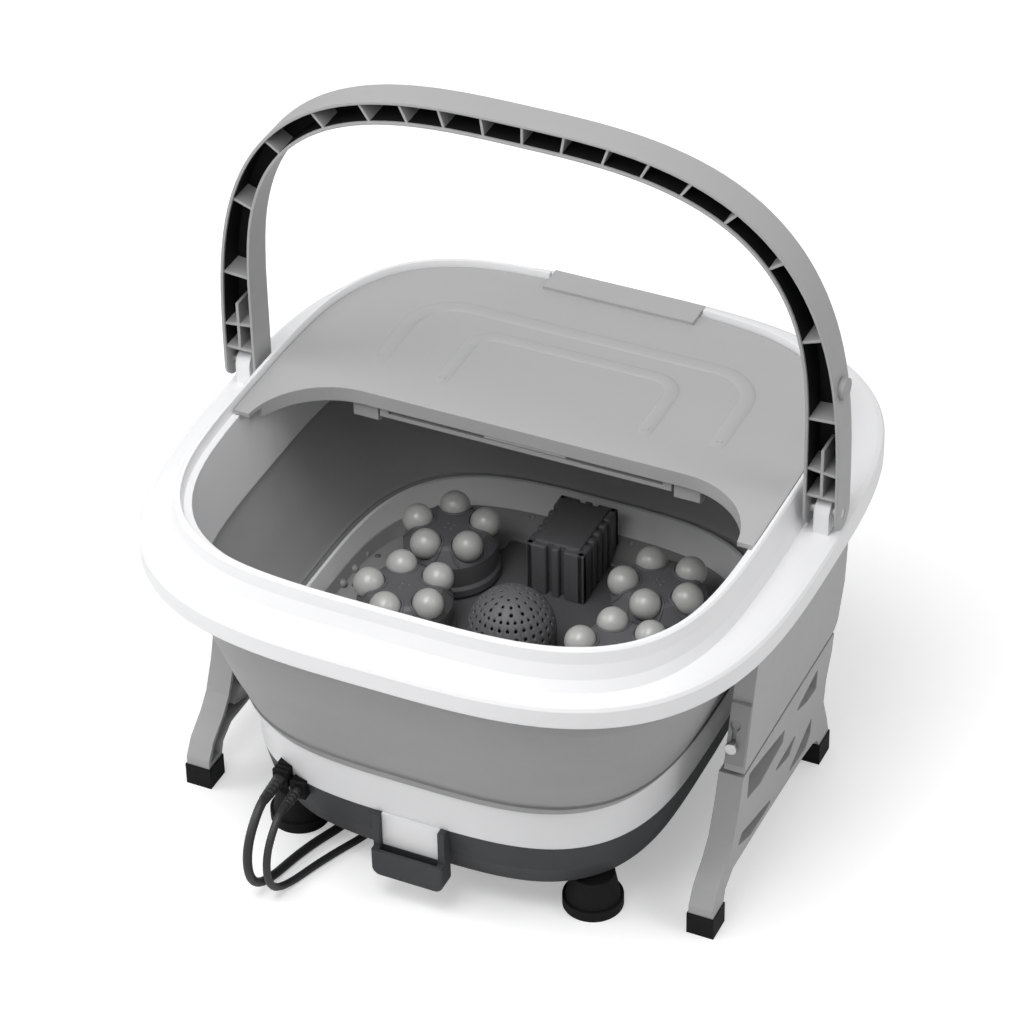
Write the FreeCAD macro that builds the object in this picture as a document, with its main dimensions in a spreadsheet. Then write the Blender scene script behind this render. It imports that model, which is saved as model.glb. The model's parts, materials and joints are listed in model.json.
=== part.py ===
import FreeCAD, Part
import math
import os
import types

# Foot spa basin. Millimetres. X runs to the user's right, Y to the rear, Z up.
# The origin is the middle of the footprint on the floor.

Vector = FreeCAD.Vector
doc = FreeCAD.newDocument("foot_spa_basin")
sheet = doc.addObject("Spreadsheet::Sheet", "Sizes")

driving = [
    # Upper rim: brim (outer edge), mouth (crest of the raised edge round the water) and inner wall
    ("brim_half_wide", 210.0), ("brim_half_deep", 214.0), ("brim_power", 3.2),
    ("brim_z", 228.5), ("brim_skirt", 15.5), ("rim_wall", 3.0),
    ("mouth_half_wide", 177.5), ("mouth_half_deep", 179.5), ("mouth_power", 3.7), ("mouth_y", -8.0),
    ("mouth_z", 254.0), ("ledge_drop", 7.5), ("ledge_wide", 4.5), ("inner_wall_z", 186.0),
    # Base: white tub band over a dark bottom housing
    ("base_half_wide", 143.0), ("base_half_deep", 151.0), ("base_power", 3.42), ("base_y", -12.0),
    ("housing_z", 26.0), ("seam_z", 67.0), ("band_z", 98.0), ("collar_z", 109.0),
    ("well_half_wide", 132.0), ("well_half_deep", 118.0), ("well_y", -13.0),
    ("floor_z", 85.0), ("floor_thick", 3.0), ("gasket_thick", 1.0), ("tub_wall", 3.0),
    # Bellows
    ("bellows_z", 200.0), ("bellows_wall", 2.0), ("clamp_tall", 8.0), ("clamp_thick", 1.6),
    # Massage turrets, their balls and drives
    ("turret_x", 74.5), ("turret_front_y", -15.0), ("turret_rear_y", 54.0), ("turret_radius", 33.0),
    ("turret_z", 122.0), ("ball_radius", 10.3), ("ball_ring", 23.5), ("ball_z", 120.5), ("ball_gap", 0.4),
    ("spindle_radius", 5.0), ("spindle_z", 62.0), ("motor_radius", 17.0), ("motor_z", 50.0),
    # Heater block, bubble dome and air pump on the middle line
    ("block_wide", 41.0), ("block_deep", 57.0), ("block_tall", 41.0), ("block_y", 83.0),
    ("block_wall", 2.5), ("block_rib", 3.0), ("block_rib_wide", 7.0),
    ("dome_radius", 28.7), ("dome_tall", 53.0), ("dome_y", -12.5), ("dome_wall", 2.0), ("dome_hole", 1.7),
    ("pump_radius", 22.0), ("pump_z", 60.0), ("nozzle_radius", 4.0), ("nozzle_bore", 2.5),
    ("board_wide", 80.0), ("board_deep", 46.0), ("board_thick", 1.6), ("board_z", 40.0), ("board_y", 66.0),
    ("post_radius", 5.0), ("screw_radius", 1.75), ("screw_head", 3.4), ("screw_long", 14.0),
    # Feet of the base
    ("foot_x", 103.0), ("foot_front_y", -118.0), ("foot_rear_y", 94.0), ("foot_radius", 19.5),
    ("pad_tall", 7.0), ("foot_neck", 14.0), ("drain_x", 66.0), ("drain_y", -121.0), ("drain_radius", 13.0),
    # Front grip and cord grommets
    ("grip_wide", 40.0), ("grip_post", 4.5), ("grip_out", 9.0), ("pocket_z", 22.0), ("pocket_tall", 20.0),
    ("grommet_wide", 10.4), ("grommet_tall", 13.0), ("mains_x", -92.0), ("mains_z", 68.0),
    ("control_x", -80.0), ("control_z", 62.5), ("mains_cord", 6.0), ("control_cord", 5.0),
    # Side legs and the panels that carry them
    ("leg_face", 184.5), ("leg_deep", 16.5), ("leg_wall", 3.0), ("panel_z", 97.0), ("leg_gap", 2.5),
    ("pin_x", 175.5), ("pin_z", 115.0), ("pin_radius", 2.5), ("ear_radius", 5.7), ("ear_thick", 6.0),
    ("cap_tall", 16.0), ("hinge_plate", 2.5),
    # Handle
    ("handle_half_wide", 209.3), ("handle_inner_half", 187.0), ("handle_deep", 22.0), ("handle_y", 19.5),
    ("handle_z", 473.3), ("handle_inner_z", 457.8), ("handle_shoulder_z", 248.0),
    ("handle_inner_shoulder_z", 290.0), ("handle_power", 3.0), ("handle_wall", 1.8), ("rib_thick", 1.6),
    ("pivot_z", 242.0), ("lug_wide", 10.0), ("lug_radius", 8.0), ("handle_pin", 3.5),
    # Half lid
    ("lid_thick", 3.5), ("lid_gap", 1.2), ("lid_front_y", 8.0), ("lid_horn", 165.0), ("lid_corner", 55.0),
    ("lip_drop", 7.0), ("lid_tab", 106.0), ("rail_wide", 200.0), ("rail_deep", 12.0), ("rail_z", 232.0),
    # Running clearances
    ("shaft_gap", 0.05), ("seat_gap", 0.3),
]
for row, (name, value) in enumerate(driving, start=1):
    sheet.set(f"A{row}", name)
    sheet.set(f"B{row}", str(value))
    sheet.setAlias(f"B{row}", name)
doc.recompute()
s = types.SimpleNamespace(**{name: float(sheet.get(name)) for name, value in driving})

nodes = []


# Objects bound to the sheet

def bind(thing, **cells):
    """Ties properties to sheet formulas; Base_x stands for Placement.Base.x."""
    for key, formula in cells.items():
        path = key.replace("Base_", "Placement.Base.")
        thing.setExpression(path, formula)
    return thing


def primitive(kind, name, turn=None, **cells):
    """A Part primitive whose sizes and place are formulas on the sheet."""
    thing = doc.addObject("Part::" + kind, name)
    if turn:
        thing.Placement = FreeCAD.Placement(Vector(0, 0, 0), FreeCAD.Rotation(Vector(*turn[0]), turn[1]))
    return bind(thing, **cells)


def cut(name, base, tool):
    thing = doc.addObject("Part::Cut", name)
    thing.Base = base
    thing.Tool = tool
    return thing


def joined(name, things):
    thing = doc.addObject("Part::MultiFuse", name)
    thing.Shapes = things
    return thing


def group(name, things):
    """Separate alike solids under one name."""
    thing = doc.addObject("Part::Compound", name)
    thing.Links = things
    return thing


def feature(name, shape):
    thing = doc.addObject("Part::Feature", name)
    thing.Shape = shape
    return thing


def node(name, thing):
    thing.Label = name
    nodes.append(thing)
    return thing


# Outlines and lofts

def outline(half_wide, half_deep, power, middle_y, height, points=32):
    """A rounded-square ring: one closed curve through points of a superellipse."""
    ring = []
    for step in range(points):
        turn = 2 * math.pi * step / points
        wide_share = (abs(math.cos(turn)) / half_wide) ** power
        deep_share = (abs(math.sin(turn)) / half_deep) ** power
        reach = (wide_share + deep_share) ** (-1 / power)
        ring.append(Vector(reach * math.cos(turn), middle_y + reach * math.sin(turn), height))
    curve = Part.BSplineCurve()
    curve.interpolate(Points=ring, PeriodicFlag=True)
    return Part.Wire([curve.toShape()])


def brim(offset, height):
    return outline(s.brim_half_wide + offset, s.brim_half_deep + offset, s.brim_power, 0, height)


def mouth(offset, height, deeper=0.0):
    return outline(s.mouth_half_wide + offset, s.mouth_half_deep + offset + deeper, s.mouth_power,
                   s.mouth_y, height)


def base(offset, height):
    return outline(s.base_half_wide + offset, s.base_half_deep + offset, s.base_power, s.base_y, height)


def well(offset, height):
    return outline(s.well_half_wide + offset, s.well_half_deep + offset, s.base_power, s.well_y, height)


def between(share, offset, height):
    """A ring between the base outline (share 0) and the mouth outline (share 1)."""
    def mix(low, high):
        return low + (high - low) * share
    return outline(mix(s.base_half_wide, s.mouth_half_wide - 2.2) + offset,
                   mix(s.base_half_deep, s.mouth_half_deep - 2.2) + offset,
                   mix(s.base_power, s.mouth_power), mix(s.base_y, s.mouth_y), height)


def loft(*rings):
    return Part.makeLoft(list(rings), True, True)


def plate_yz(points, x_low, x_high, rounding=0.0):
    """A flat plate drawn in the Y-Z plane and padded along X."""
    corners = [Vector(x_low, y, z) for y, z in points]
    face = Part.Face(Part.makePolygon(corners + corners[:1]))
    if rounding:
        face = face.makeOffset2D(-rounding).makeOffset2D(rounding)
    return face.extrude(Vector(x_high - x_low, 0, 0))


def plate_xy(points, z_low, z_high):
    corners = [Vector(x, y, z_low) for x, y in points]
    return Part.Face(Part.makePolygon(corners + corners[:1])).extrude(Vector(0, 0, z_high - z_low))


def box(x_low, x_high, y_low, y_high, z_low, z_high):
    return Part.makeBox(x_high - x_low, y_high - y_low, z_high - z_low, Vector(x_low, y_low, z_low))


def rod(radius, start, end):
    way = Vector(*end).sub(Vector(*start))
    return Part.makeCylinder(radius, way.Length, Vector(*start), way)


def mirrored(shape):
    return shape.mirror(Vector(0, 0, 0), Vector(1, 0, 0))


# Upper rim

skirt_z = s.brim_z - s.brim_skirt
under_z = s.brim_z - s.rim_wall - 0.5
ledge_z = s.mouth_z - s.ledge_drop
slope_foot = 8.5
slope_deeper = 4.0


def rim_outside():
    rings = [brim(0, skirt_z), brim(0, s.brim_z - 3.5), brim(-1.2, s.brim_z - 1.2), brim(-4, s.brim_z)]
    rings += [mouth(slope_foot, s.brim_z + 0.5, slope_deeper), mouth(6, s.brim_z + 7, slope_deeper / 2)]
    rings += [mouth(4.6, s.brim_z + 16), mouth(3.6, s.mouth_z - 1.5), mouth(2.4, s.mouth_z)]
    return loft(*rings)


def rim_hollow():
    low = loft(brim(-s.rim_wall, skirt_z - 0.1), brim(-s.rim_wall, under_z))
    high = loft(mouth(slope_foot - 4.5, under_z - 0.1), mouth(2.6, s.brim_z + 7), mouth(1.2, ledge_z - 3))
    return low.fuse(high)


def wall_inside(height):
    """How far inside the mouth crest the inner wall's water side lies at a height."""
    share = (ledge_z - height) / (ledge_z - s.inner_wall_z)
    return -(s.ledge_wide + 1.0) - 2.0 * share


def handle_lug():
    """Upright lug on the brim that fills the handle's channel and holds its pin."""
    x_low = lug_x - s.lug_wide / 2
    x_high = lug_x + s.lug_wide / 2
    eye = rod(s.lug_radius, (x_low, s.handle_y, s.pivot_z), (x_high, s.handle_y, s.pivot_z))
    neck = box(x_low, x_high, s.handle_y - s.lug_radius, s.handle_y + s.lug_radius,
               under_z + 0.5, s.pivot_z)
    hole = rod(s.handle_pin + s.shaft_gap, (x_low - 1, s.handle_y, s.pivot_z),
               (x_high + 1, s.handle_y, s.pivot_z))
    return eye.fuse(neck).cut(hole)


lug_x = (s.handle_half_wide + s.handle_inner_half) / 2


def rim_shell():
    sleeve = loft(mouth(wall_inside(s.inner_wall_z) + s.rim_wall, s.inner_wall_z),
                  mouth(wall_inside(ledge_z) + s.rim_wall, ledge_z - 2.9))
    opening = loft(mouth(wall_inside(s.inner_wall_z), s.inner_wall_z - 0.1),
                   mouth(wall_inside(ledge_z), ledge_z + 0.1))
    recess = loft(mouth(-1, ledge_z), mouth(0, s.mouth_z - 2), mouth(0.4, s.mouth_z + 0.1))
    notch = box(-s.lid_tab / 2 - s.lid_gap, s.lid_tab / 2 + s.lid_gap,
                s.mouth_y + s.mouth_half_deep - 10, s.brim_half_deep, ledge_z + 3.5, s.mouth_z + 1)
    shell = rim_outside().cut(rim_hollow()).fuse(sleeve).cut(opening.fuse(recess)).cut(notch)
    lug = handle_lug()
    return shell.fuse([lug, mirrored(lug)])


node("rim_shell", feature("RimShell", rim_shell()))

for side, name in ((1, "right"), (-1, "left")):
    low_x = "Sizes.handle_inner_half + Sizes.seat_gap"
    high_x = "Sizes.handle_half_wide - Sizes.seat_gap"
    start_x = low_x if side > 0 else f"-({high_x})"
    pin = primitive("Cylinder", name.title() + "HandlePin", turn=((0, 1, 0), 90), Radius="Sizes.handle_pin",
                    Height=f"{high_x} - ({low_x})", Base_x=start_x, Base_y="Sizes.handle_y",
                    Base_z="Sizes.pivot_z")
    node(name + "_handle_pin", pin)

# Bellows between rim and base, held by a clamp ring at each end

bellows_bottom = s.band_z
bellows_hang = s.inner_wall_z - 2


def bellows_share(height):
    """Swell of the bellows: quick near the base, slow near the rim."""
    return ((height - bellows_bottom) / (bellows_hang - bellows_bottom)) ** 0.8


def bellows_rings(offset):
    heights = [bellows_bottom + step * (bellows_hang - bellows_bottom) / 6 for step in range(7)]
    rings = [between(bellows_share(height), offset, height) for height in heights]
    return rings + [between(1, offset + 1.0, s.bellows_z)]


def bellows():
    outside = loft(*bellows_rings(0))
    rings = bellows_rings(-s.bellows_wall)
    first = between(0, -s.bellows_wall, bellows_bottom - 0.1)
    last = between(1, 1.0 - s.bellows_wall, s.bellows_z + 0.1)
    return outside.cut(loft(first, *rings[1:-1], last))


def ring_band(rings_outside, rings_inside):
    return loft(*rings_outside).cut(loft(*rings_inside))


def upper_clamp():
    low = s.bellows_z - s.clamp_tall
    swell = (low - bellows_hang) / (s.bellows_z - bellows_hang)
    fit = s.seat_gap / 3
    inside = [between(1, swell + fit, low - 0.1), between(1, 1.0 + fit, s.bellows_z + 0.1)]
    outside = [between(1, swell + s.clamp_thick, low), between(1, 1.0 + s.clamp_thick, s.bellows_z)]
    return ring_band(outside, inside)


def lower_clamp():
    high = bellows_bottom + s.clamp_tall - 1
    share = bellows_share(high)
    inside = [between(0, 0, bellows_bottom - 0.1), between(share, 0, high + 0.1)]
    outside = [between(0, s.clamp_thick, bellows_bottom), between(share, s.clamp_thick, high)]
    return ring_band(outside, inside).cut(loft(*bellows_rings(0)))


node("bellows", feature("Bellows", bellows()))
node("upper_clamp_ring", feature("UpperClampRing", upper_clamp()))
node("lower_clamp_ring", feature("LowerClampRing", lower_clamp()))

# Base: water tub, floor plate, gasket and bottom housing

ledge_low = s.floor_z - s.floor_thick - s.gasket_thick
collar_offset = -s.bellows_wall - s.seat_gap
well_rim = collar_offset - 2.2
front_face_y = s.base_y - s.base_half_deep


def nub(x, y, z, radius):
    return Part.makeSphere(radius, Vector(x, y, z))


def grommet_cut(x, z):
    return box(x - s.grommet_wide / 2, x + s.grommet_wide / 2, front_face_y - 20, front_face_y + 30,
               z - s.grommet_tall / 2, z + s.grommet_tall / 2)


def grommet_cuts():
    return grommet_cut(s.mains_x, s.mains_z).fuse(grommet_cut(s.control_x, s.control_z))


def water_tub():
    band = loft(base(-1, s.seam_z), base(0, s.band_z))
    collar = loft(base(collar_offset, s.band_z - 1), base(collar_offset, s.collar_z))
    cavity = loft(base(-1 - s.tub_wall, s.seam_z - 0.1), base(-0.4 - s.tub_wall, s.band_z - 2),
                  base(collar_offset - s.tub_wall, s.collar_z - 3))
    slope = loft(well(s.tub_wall, ledge_low - s.tub_wall), well(s.tub_wall, s.floor_z + 1),
                 base(collar_offset, s.collar_z))
    water = loft(well(0, ledge_low), well(0, s.floor_z), base(well_rim, s.collar_z + 0.01))
    hatch = loft(well(-6, ledge_low - s.tub_wall - 0.1), well(-6, ledge_low + 0.1))
    tub = band.fuse(collar).cut(cavity).fuse(slope).cut(water).cut(hatch)
    rear_nub_y = s.well_y + s.well_half_deep + 11
    big = [nub(side * s.turret_x * 1.25, rear_nub_y, s.floor_z + 11, 5) for side in (-1, 1)]
    return tub.fuse(big).cut(grommet_cuts())


def floor_ring():
    return ring_band([well(-0.5, ledge_low), well(-0.5, ledge_low + s.gasket_thick)],
                     [well(-5.5, ledge_low - 0.1), well(-5.5, ledge_low + s.gasket_thick + 0.1)])


turret_places = [(name_y + "_" + name_x, side * s.turret_x, y)
                 for name_y, y in (("front", s.turret_front_y), ("rear", s.turret_rear_y))
                 for name_x, side in (("left", -1), ("right", 1))]
post_places = [(side * 112, y) for side in (-1, 1) for y in (-78, 20)]
post_places += [(side * 52, y) for side in (-1, 1) for y in (-112, 88)]
plate_under = s.floor_z - s.floor_thick
housing_floor = s.housing_z + s.tub_wall


def floor_plate():
    plate = loft(well(-s.seat_gap, plate_under), well(-s.seat_gap, s.floor_z))
    posts = [rod(s.post_radius, (x, y, housing_floor), (x, y, plate_under + 0.1)) for x, y in post_places]
    edge_x = s.well_half_wide - 7
    nubs = [nub(side * edge_x, y, s.floor_z, 3) for side in (-1, 1) for y in (-40, -22, -5, 12, 29, 46)]
    nubs += [nub(side * x, y, s.floor_z, 3) for side in (-1, 1) for x in (50, 68, 86) for y in (-66, -84, -102)]
    plate = plate.fuse(posts + nubs)
    for x, y in post_places:
        screw_end = housing_floor + s.screw_long
        plate = plate.cut(rod(s.screw_radius, (x, y, housing_floor - 1), (x, y, screw_end)))
    for name, x, y in turret_places:
        plate = plate.cut(rod(s.spindle_radius + 3, (x, y, plate_under - 1), (x, y, s.floor_z + 1)))
    air = rod(s.nozzle_bore, (0, s.dome_y, plate_under - 1), (0, s.dome_y, s.floor_z + 1))
    return plate.cut(air)


def bottom_housing():
    top = s.seam_z
    low = s.housing_z
    outside = loft(base(-15, low), base(-11.5, low + 4), base(-5.5, low + 19), base(-1, top))
    wall = s.tub_wall
    inside = loft(base(-12 - wall, low + wall), base(-5.5 - wall, low + 19), base(-1 - wall, top + 0.1))
    housing = outside.cut(inside).cut(grommet_cuts())
    for x, y in post_places:
        hole = rod(s.screw_radius + 0.2, (x, y, low - 1), (x, y, housing_floor + 1))
        seat = rod(s.screw_head + 0.3, (x, y, low - 1), (x, y, low + 1.5))
        housing = housing.cut(hole.fuse(seat))
    standoffs = [rod(3.5, (x, y, housing_floor - 0.1), (x, y, s.board_z)) for x, y in board_corners]
    drain = rod(s.drain_radius - 4, (s.drain_x, s.drain_y, low - 1), (s.drain_x, s.drain_y, housing_floor + 1))
    reach = s.grip_wide / 2 + s.grip_post
    grip_room = box(-reach, reach, front_face_y - 20, front_face_y + 4, low + wall + 2, top + 1)
    return housing.fuse(standoffs).cut(drain).cut(grip_room)


board_corners = [(side * (s.board_wide / 2 - 5), s.board_y + way * (s.board_deep / 2 - 5))
                 for side in (-1, 1) for way in (-1, 1)]

node("water_tub", feature("WaterTub", water_tub()))
node("floor_gasket", feature("FloorGasket", floor_ring()))
node("floor_plate", feature("FloorPlate", floor_plate()))
housing_shape = bottom_housing()
node("bottom_housing", feature("BottomHousing", housing_shape))


# Screws that hold the housing up against the posts of the floor plate

screws = []
for number, (x, y) in enumerate(post_places):
    shank = primitive("Cylinder", f"ScrewShank{number}", Radius="Sizes.screw_radius", Height="Sizes.screw_long",
                      Base_z="Sizes.housing_z + 1.5")
    head = primitive("Cylinder", f"ScrewHead{number}", Radius="Sizes.screw_head", Height="1.5",
                     Base_z="Sizes.housing_z")
    for thing in (shank, head):
        bind(thing, Base_x=str(x), Base_y=str(y))
    screws.append(joined(f"Screw{number}", [shank, head]))
node("housing_screws", group("HousingScrews", screws))


# Massage turrets: a spinning disc on a spindle, five free balls, a gear motor and a seal

turret_foot = s.floor_z + 1.5


def turret(x, y, first):
    radius = s.turret_radius
    top = s.turret_z
    profile = [(0, s.spindle_z), (s.spindle_radius, s.spindle_z), (s.spindle_radius, turret_foot)]
    profile += [(radius - 1, turret_foot), (radius, turret_foot + 1), (radius, turret_foot + 6)]
    profile += [(radius - 2, turret_foot + 8), (radius - 1.5, top - 12), (radius - 8, top - 1.5)]
    profile += [(radius - 11, top), (0, top)]
    points = [Vector(x + reach, y, height) for reach, height in profile]
    disc = Part.Face(Part.makePolygon(points + points[:1])).revolve(Vector(x, y, 0), Vector(0, 0, 1), 360)
    pockets = [Part.makeSphere(s.ball_radius + s.ball_gap, place) for place in ball_places(x, y, first)]
    return disc.cut(pockets)


# How far each disc is turned at rest, as the photographed ones stand
rest_turns = {"front_left": 48.0, "front_right": 48.0, "rear_left": 36.0, "rear_right": 54.0}


def ball_places(x, y, first, count=5):
    places = []
    for number in range(count):
        turn = math.radians(first + number * 360 / count)
        places.append(Vector(x + s.ball_ring * math.cos(turn), y + s.ball_ring * math.sin(turn), s.ball_z))
    return places


seals = []
for name, x, y in turret_places:
    title = name.title().replace("_", "")
    node("turret_" + name, feature("Turret" + title, turret(x, y, rest_turns[name])))
    balls = [Part.makeSphere(s.ball_radius, place) for place in ball_places(x, y, rest_turns[name])]
    node("balls_" + name, feature("Balls" + title, Part.makeCompound(balls)))
    side = "-" if x < 0 else ""
    row = "Sizes.turret_" + name.split("_")[0] + "_y"
    case = primitive("Cylinder", "MotorCase" + title, Radius="Sizes.motor_radius",
                     Height="Sizes.floor_z - Sizes.floor_thick - Sizes.motor_z", Base_z="Sizes.motor_z")
    bore = primitive("Cylinder", "MotorBore" + title, Radius="Sizes.spindle_radius + Sizes.shaft_gap",
                     Height="50", Base_z="Sizes.spindle_z - 1")
    lip = primitive("Cylinder", "SealLip" + title, Radius="Sizes.spindle_radius + 3",
                    Height="Sizes.floor_thick", Base_z="Sizes.floor_z - Sizes.floor_thick")
    eye = primitive("Cylinder", "SealEye" + title, Radius="Sizes.spindle_radius + Sizes.shaft_gap",
                    Height="20", Base_z="Sizes.floor_z - 10")
    for thing in (case, bore, lip, eye):
        bind(thing, Base_x=f"{side}Sizes.turret_x", Base_y=row)
    node("motor_" + name, cut("Motor" + title, case, bore))
    seals.append(cut("Seal" + title, lip, eye))
node("spindle_seals", group("SpindleSeals", seals))


# Heater block with its heating core, bubble dome and air pump

def heater_cover():
    """A box with upright ribs, hollow below, whose rear foot follows the slope of the tub."""
    core_x = s.block_wide / 2 - s.block_rib
    core_y = s.block_deep / 2 - s.block_rib
    top = s.floor_z + s.block_tall
    rib_top = top - 2.5
    rib_half = s.block_rib_wide / 2
    rear_y = s.block_y + s.block_deep / 2
    front_y = s.block_y - s.block_deep / 2
    cover = box(-core_x, core_x, s.block_y - core_y, s.block_y + core_y, s.floor_z, top)
    ribs = []
    for share in (-1, -1 / 3, 1 / 3, 1):
        x = share * (s.block_wide / 2 - rib_half)
        ribs.append(box(x - rib_half, x + rib_half, front_y, rear_y, s.floor_z, rib_top))
    for share in (-1, -1 / 2, 0, 1 / 2, 1):
        y = s.block_y + share * (s.block_deep / 2 - rib_half)
        ribs.append(box(-s.block_wide / 2, s.block_wide / 2, y - rib_half, y + rib_half, s.floor_z, rib_top))
    wall = s.block_wall
    room = box(-core_x + wall, core_x - wall, s.block_y - core_y + wall, s.block_y + core_y - wall,
               s.floor_z - 1, top - wall)
    basin_room = loft(well(-1, s.floor_z), base(well_rim - 1, s.collar_z), base(well_rim - 1, top + 1))
    return cover.fuse(ribs).common(basin_room).cut(room)


def dome_profile(offset):
    """Half outline of the dome: an upright wall that runs into a quarter round."""
    radius = s.dome_radius - offset
    spring = s.floor_z + s.dome_tall - s.dome_radius
    foot = Vector(0, s.dome_y, s.floor_z)
    corner = Vector(radius, s.dome_y, s.floor_z)
    shoulder = Vector(radius, s.dome_y, spring)
    bow = Vector(radius * math.cos(math.pi / 4), s.dome_y, spring + radius * math.sin(math.pi / 4))
    top = Vector(0, s.dome_y, spring + radius)
    edges = [Part.LineSegment(foot, corner).toShape(), Part.LineSegment(corner, shoulder).toShape(),
             Part.Arc(shoulder, bow, top).toShape(), Part.LineSegment(top, foot).toShape()]
    return Part.Face(Part.Wire(edges))


def air_dome(rows=((4, 12), (30, 11), (56, 8))):
    """A thin dome with rows of air holes, each row given by its tilt and its number of holes."""
    middle = Vector(0, s.dome_y, s.floor_z + s.dome_tall - s.dome_radius)
    up = Vector(0, 0, 1)
    shell = dome_profile(0).revolve(middle, up, 360).cut(dome_profile(s.dome_wall).revolve(middle, up, 360))
    for tilt, count in rows:
        for number in range(count):
            turn = 2 * math.pi * number / count
            lift = math.radians(tilt)
            way = Vector(math.cos(turn) * math.cos(lift), math.sin(turn) * math.cos(lift), math.sin(lift))
            shell = shell.cut(Part.makeCylinder(s.dome_hole, s.dome_radius, middle.add(way * 10), way))
    return shell


node("heater_cover", feature("HeaterCover", heater_cover()))
core = primitive("Box", "HeaterCore", Length="Sizes.block_wide - 15", Width="Sizes.block_deep - 16",
                 Height="Sizes.block_tall - 10", Base_x="-(Sizes.block_wide - 15) / 2",
                 Base_y="Sizes.block_y - (Sizes.block_deep - 16) / 2", Base_z="Sizes.floor_z")
node("heater_core", core)
node("air_dome", feature("AirDome", air_dome()))
pump_case = primitive("Cylinder", "PumpCase", Radius="Sizes.pump_radius",
                      Height="Sizes.pump_z - Sizes.housing_z - Sizes.tub_wall",
                      Base_z="Sizes.housing_z + Sizes.tub_wall", Base_y="Sizes.dome_y")
nozzle = primitive("Cylinder", "PumpNozzle", Radius="Sizes.nozzle_radius",
                   Height="Sizes.floor_z - Sizes.floor_thick - Sizes.pump_z + 2", Base_z="Sizes.pump_z - 2",
                   Base_y="Sizes.dome_y")
nozzle_hole = primitive("Cylinder", "NozzleHole", Radius="Sizes.nozzle_bore", Height="40",
                        Base_z="Sizes.pump_z", Base_y="Sizes.dome_y")
node("air_pump", cut("AirPump", joined("PumpBody", [pump_case, nozzle]), nozzle_hole))


# Electrics in the housing

board = primitive("Box", "Board", Length="Sizes.board_wide", Width="Sizes.board_deep",
                  Height="Sizes.board_thick", Base_x="-Sizes.board_wide / 2",
                  Base_y="Sizes.board_y - Sizes.board_deep / 2", Base_z="Sizes.board_z")
relay = primitive("Box", "Relay", Length="20", Width="16", Height="16", Base_x="-32",
                  Base_y="Sizes.board_y - 8", Base_z="Sizes.board_z + Sizes.board_thick")
choke = primitive("Cylinder", "Choke", Radius="9", Height="14", Base_x="12", Base_y="Sizes.board_y",
                  Base_z="Sizes.board_z + Sizes.board_thick")
node("control_board", joined("ControlBoard", [board, relay, choke]))
terminal = primitive("Box", "TerminalBlock", Length="30", Width="14", Height="16",
                     Base_x="(Sizes.mains_x + Sizes.control_x) / 2 - 15",
                     Base_y="Sizes.base_y - Sizes.base_half_deep + 40",
                     Base_z="Sizes.housing_z + Sizes.tub_wall")
node("terminal_block", terminal)


# Grommets where the two cords leave, level with the seam of the base

grommet_face = front_face_y + 2


def grommet(x, z):
    fit = s.seat_gap / 3
    body = box(x - s.grommet_wide / 2 + fit, x + s.grommet_wide / 2 - fit, grommet_face, front_face_y + 18,
               z - s.grommet_tall / 2 + fit, z + s.grommet_tall / 2 - fit)
    slots = [box(x - s.grommet_wide, x + s.grommet_wide, grommet_face + 2 + 3.5 * step,
                 grommet_face + 3.6 + 3.5 * step, z + s.grommet_tall / 2 - 1.2, z + s.grommet_tall)
             for step in range(2)]
    return body.cut(slots)


node("mains_grommet", feature("MainsGrommet", grommet(s.mains_x, s.mains_z)))
node("control_grommet", feature("ControlGrommet", grommet(s.control_x, s.control_z)))


# Front grip: a dark pocket on two posts, round a white panel

grip_half = s.grip_wide / 2
grip_face = front_face_y - 0.8
pocket_face = front_face_y - s.grip_out
pocket_top = s.pocket_z + s.pocket_tall


def front_grip():
    reach = grip_half + s.grip_post
    back = front_face_y + 4
    pocket = box(-reach, reach, pocket_face, back, s.pocket_z, pocket_top)
    corners = [edge for edge in pocket.Edges
               if abs(edge.Vertexes[0].Y - edge.Vertexes[1].Y) > 1 and edge.BoundBox.ZMax < pocket_top - 1]
    pocket = pocket.makeFillet(6.0, corners)
    edges = [edge for edge in pocket.Edges
             if abs(edge.Vertexes[0].Y - pocket_face) < 0.01 and abs(edge.Vertexes[1].Y - pocket_face) < 0.01
             and edge.BoundBox.ZMin < pocket_top - 1]
    pocket = pocket.makeFillet(1.5, edges)
    room = box(-grip_half, grip_half, pocket_face + 2.5, grip_face - 0.2, s.pocket_z + 3, pocket_top + 1)
    pocket = pocket.cut(room)
    posts = [box(side * (grip_half + s.grip_post / 2) - s.grip_post / 2,
                 side * (grip_half + s.grip_post / 2) + s.grip_post / 2,
                 grip_face - 3.5, back, pocket_top - 1, s.seam_z - 0.1) for side in (-1, 1)]
    upper = loft(base(-1, s.seam_z - 0.5), base(0, s.band_z))
    cleared = pocket.fuse([post.cut(upper) for post in posts])
    return cleared.cut(housing_shape)


def grip_panel():
    fit = s.seat_gap / 3
    panel = box(-grip_half + fit, grip_half - fit, grip_face, front_face_y + 4, pocket_top, s.seam_z)
    return panel.cut(housing_shape)


node("front_grip", feature("FrontGrip", front_grip()))
node("grip_panel", feature("GripPanel", grip_panel()))


# Round feet and drain cap under the housing

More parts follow.
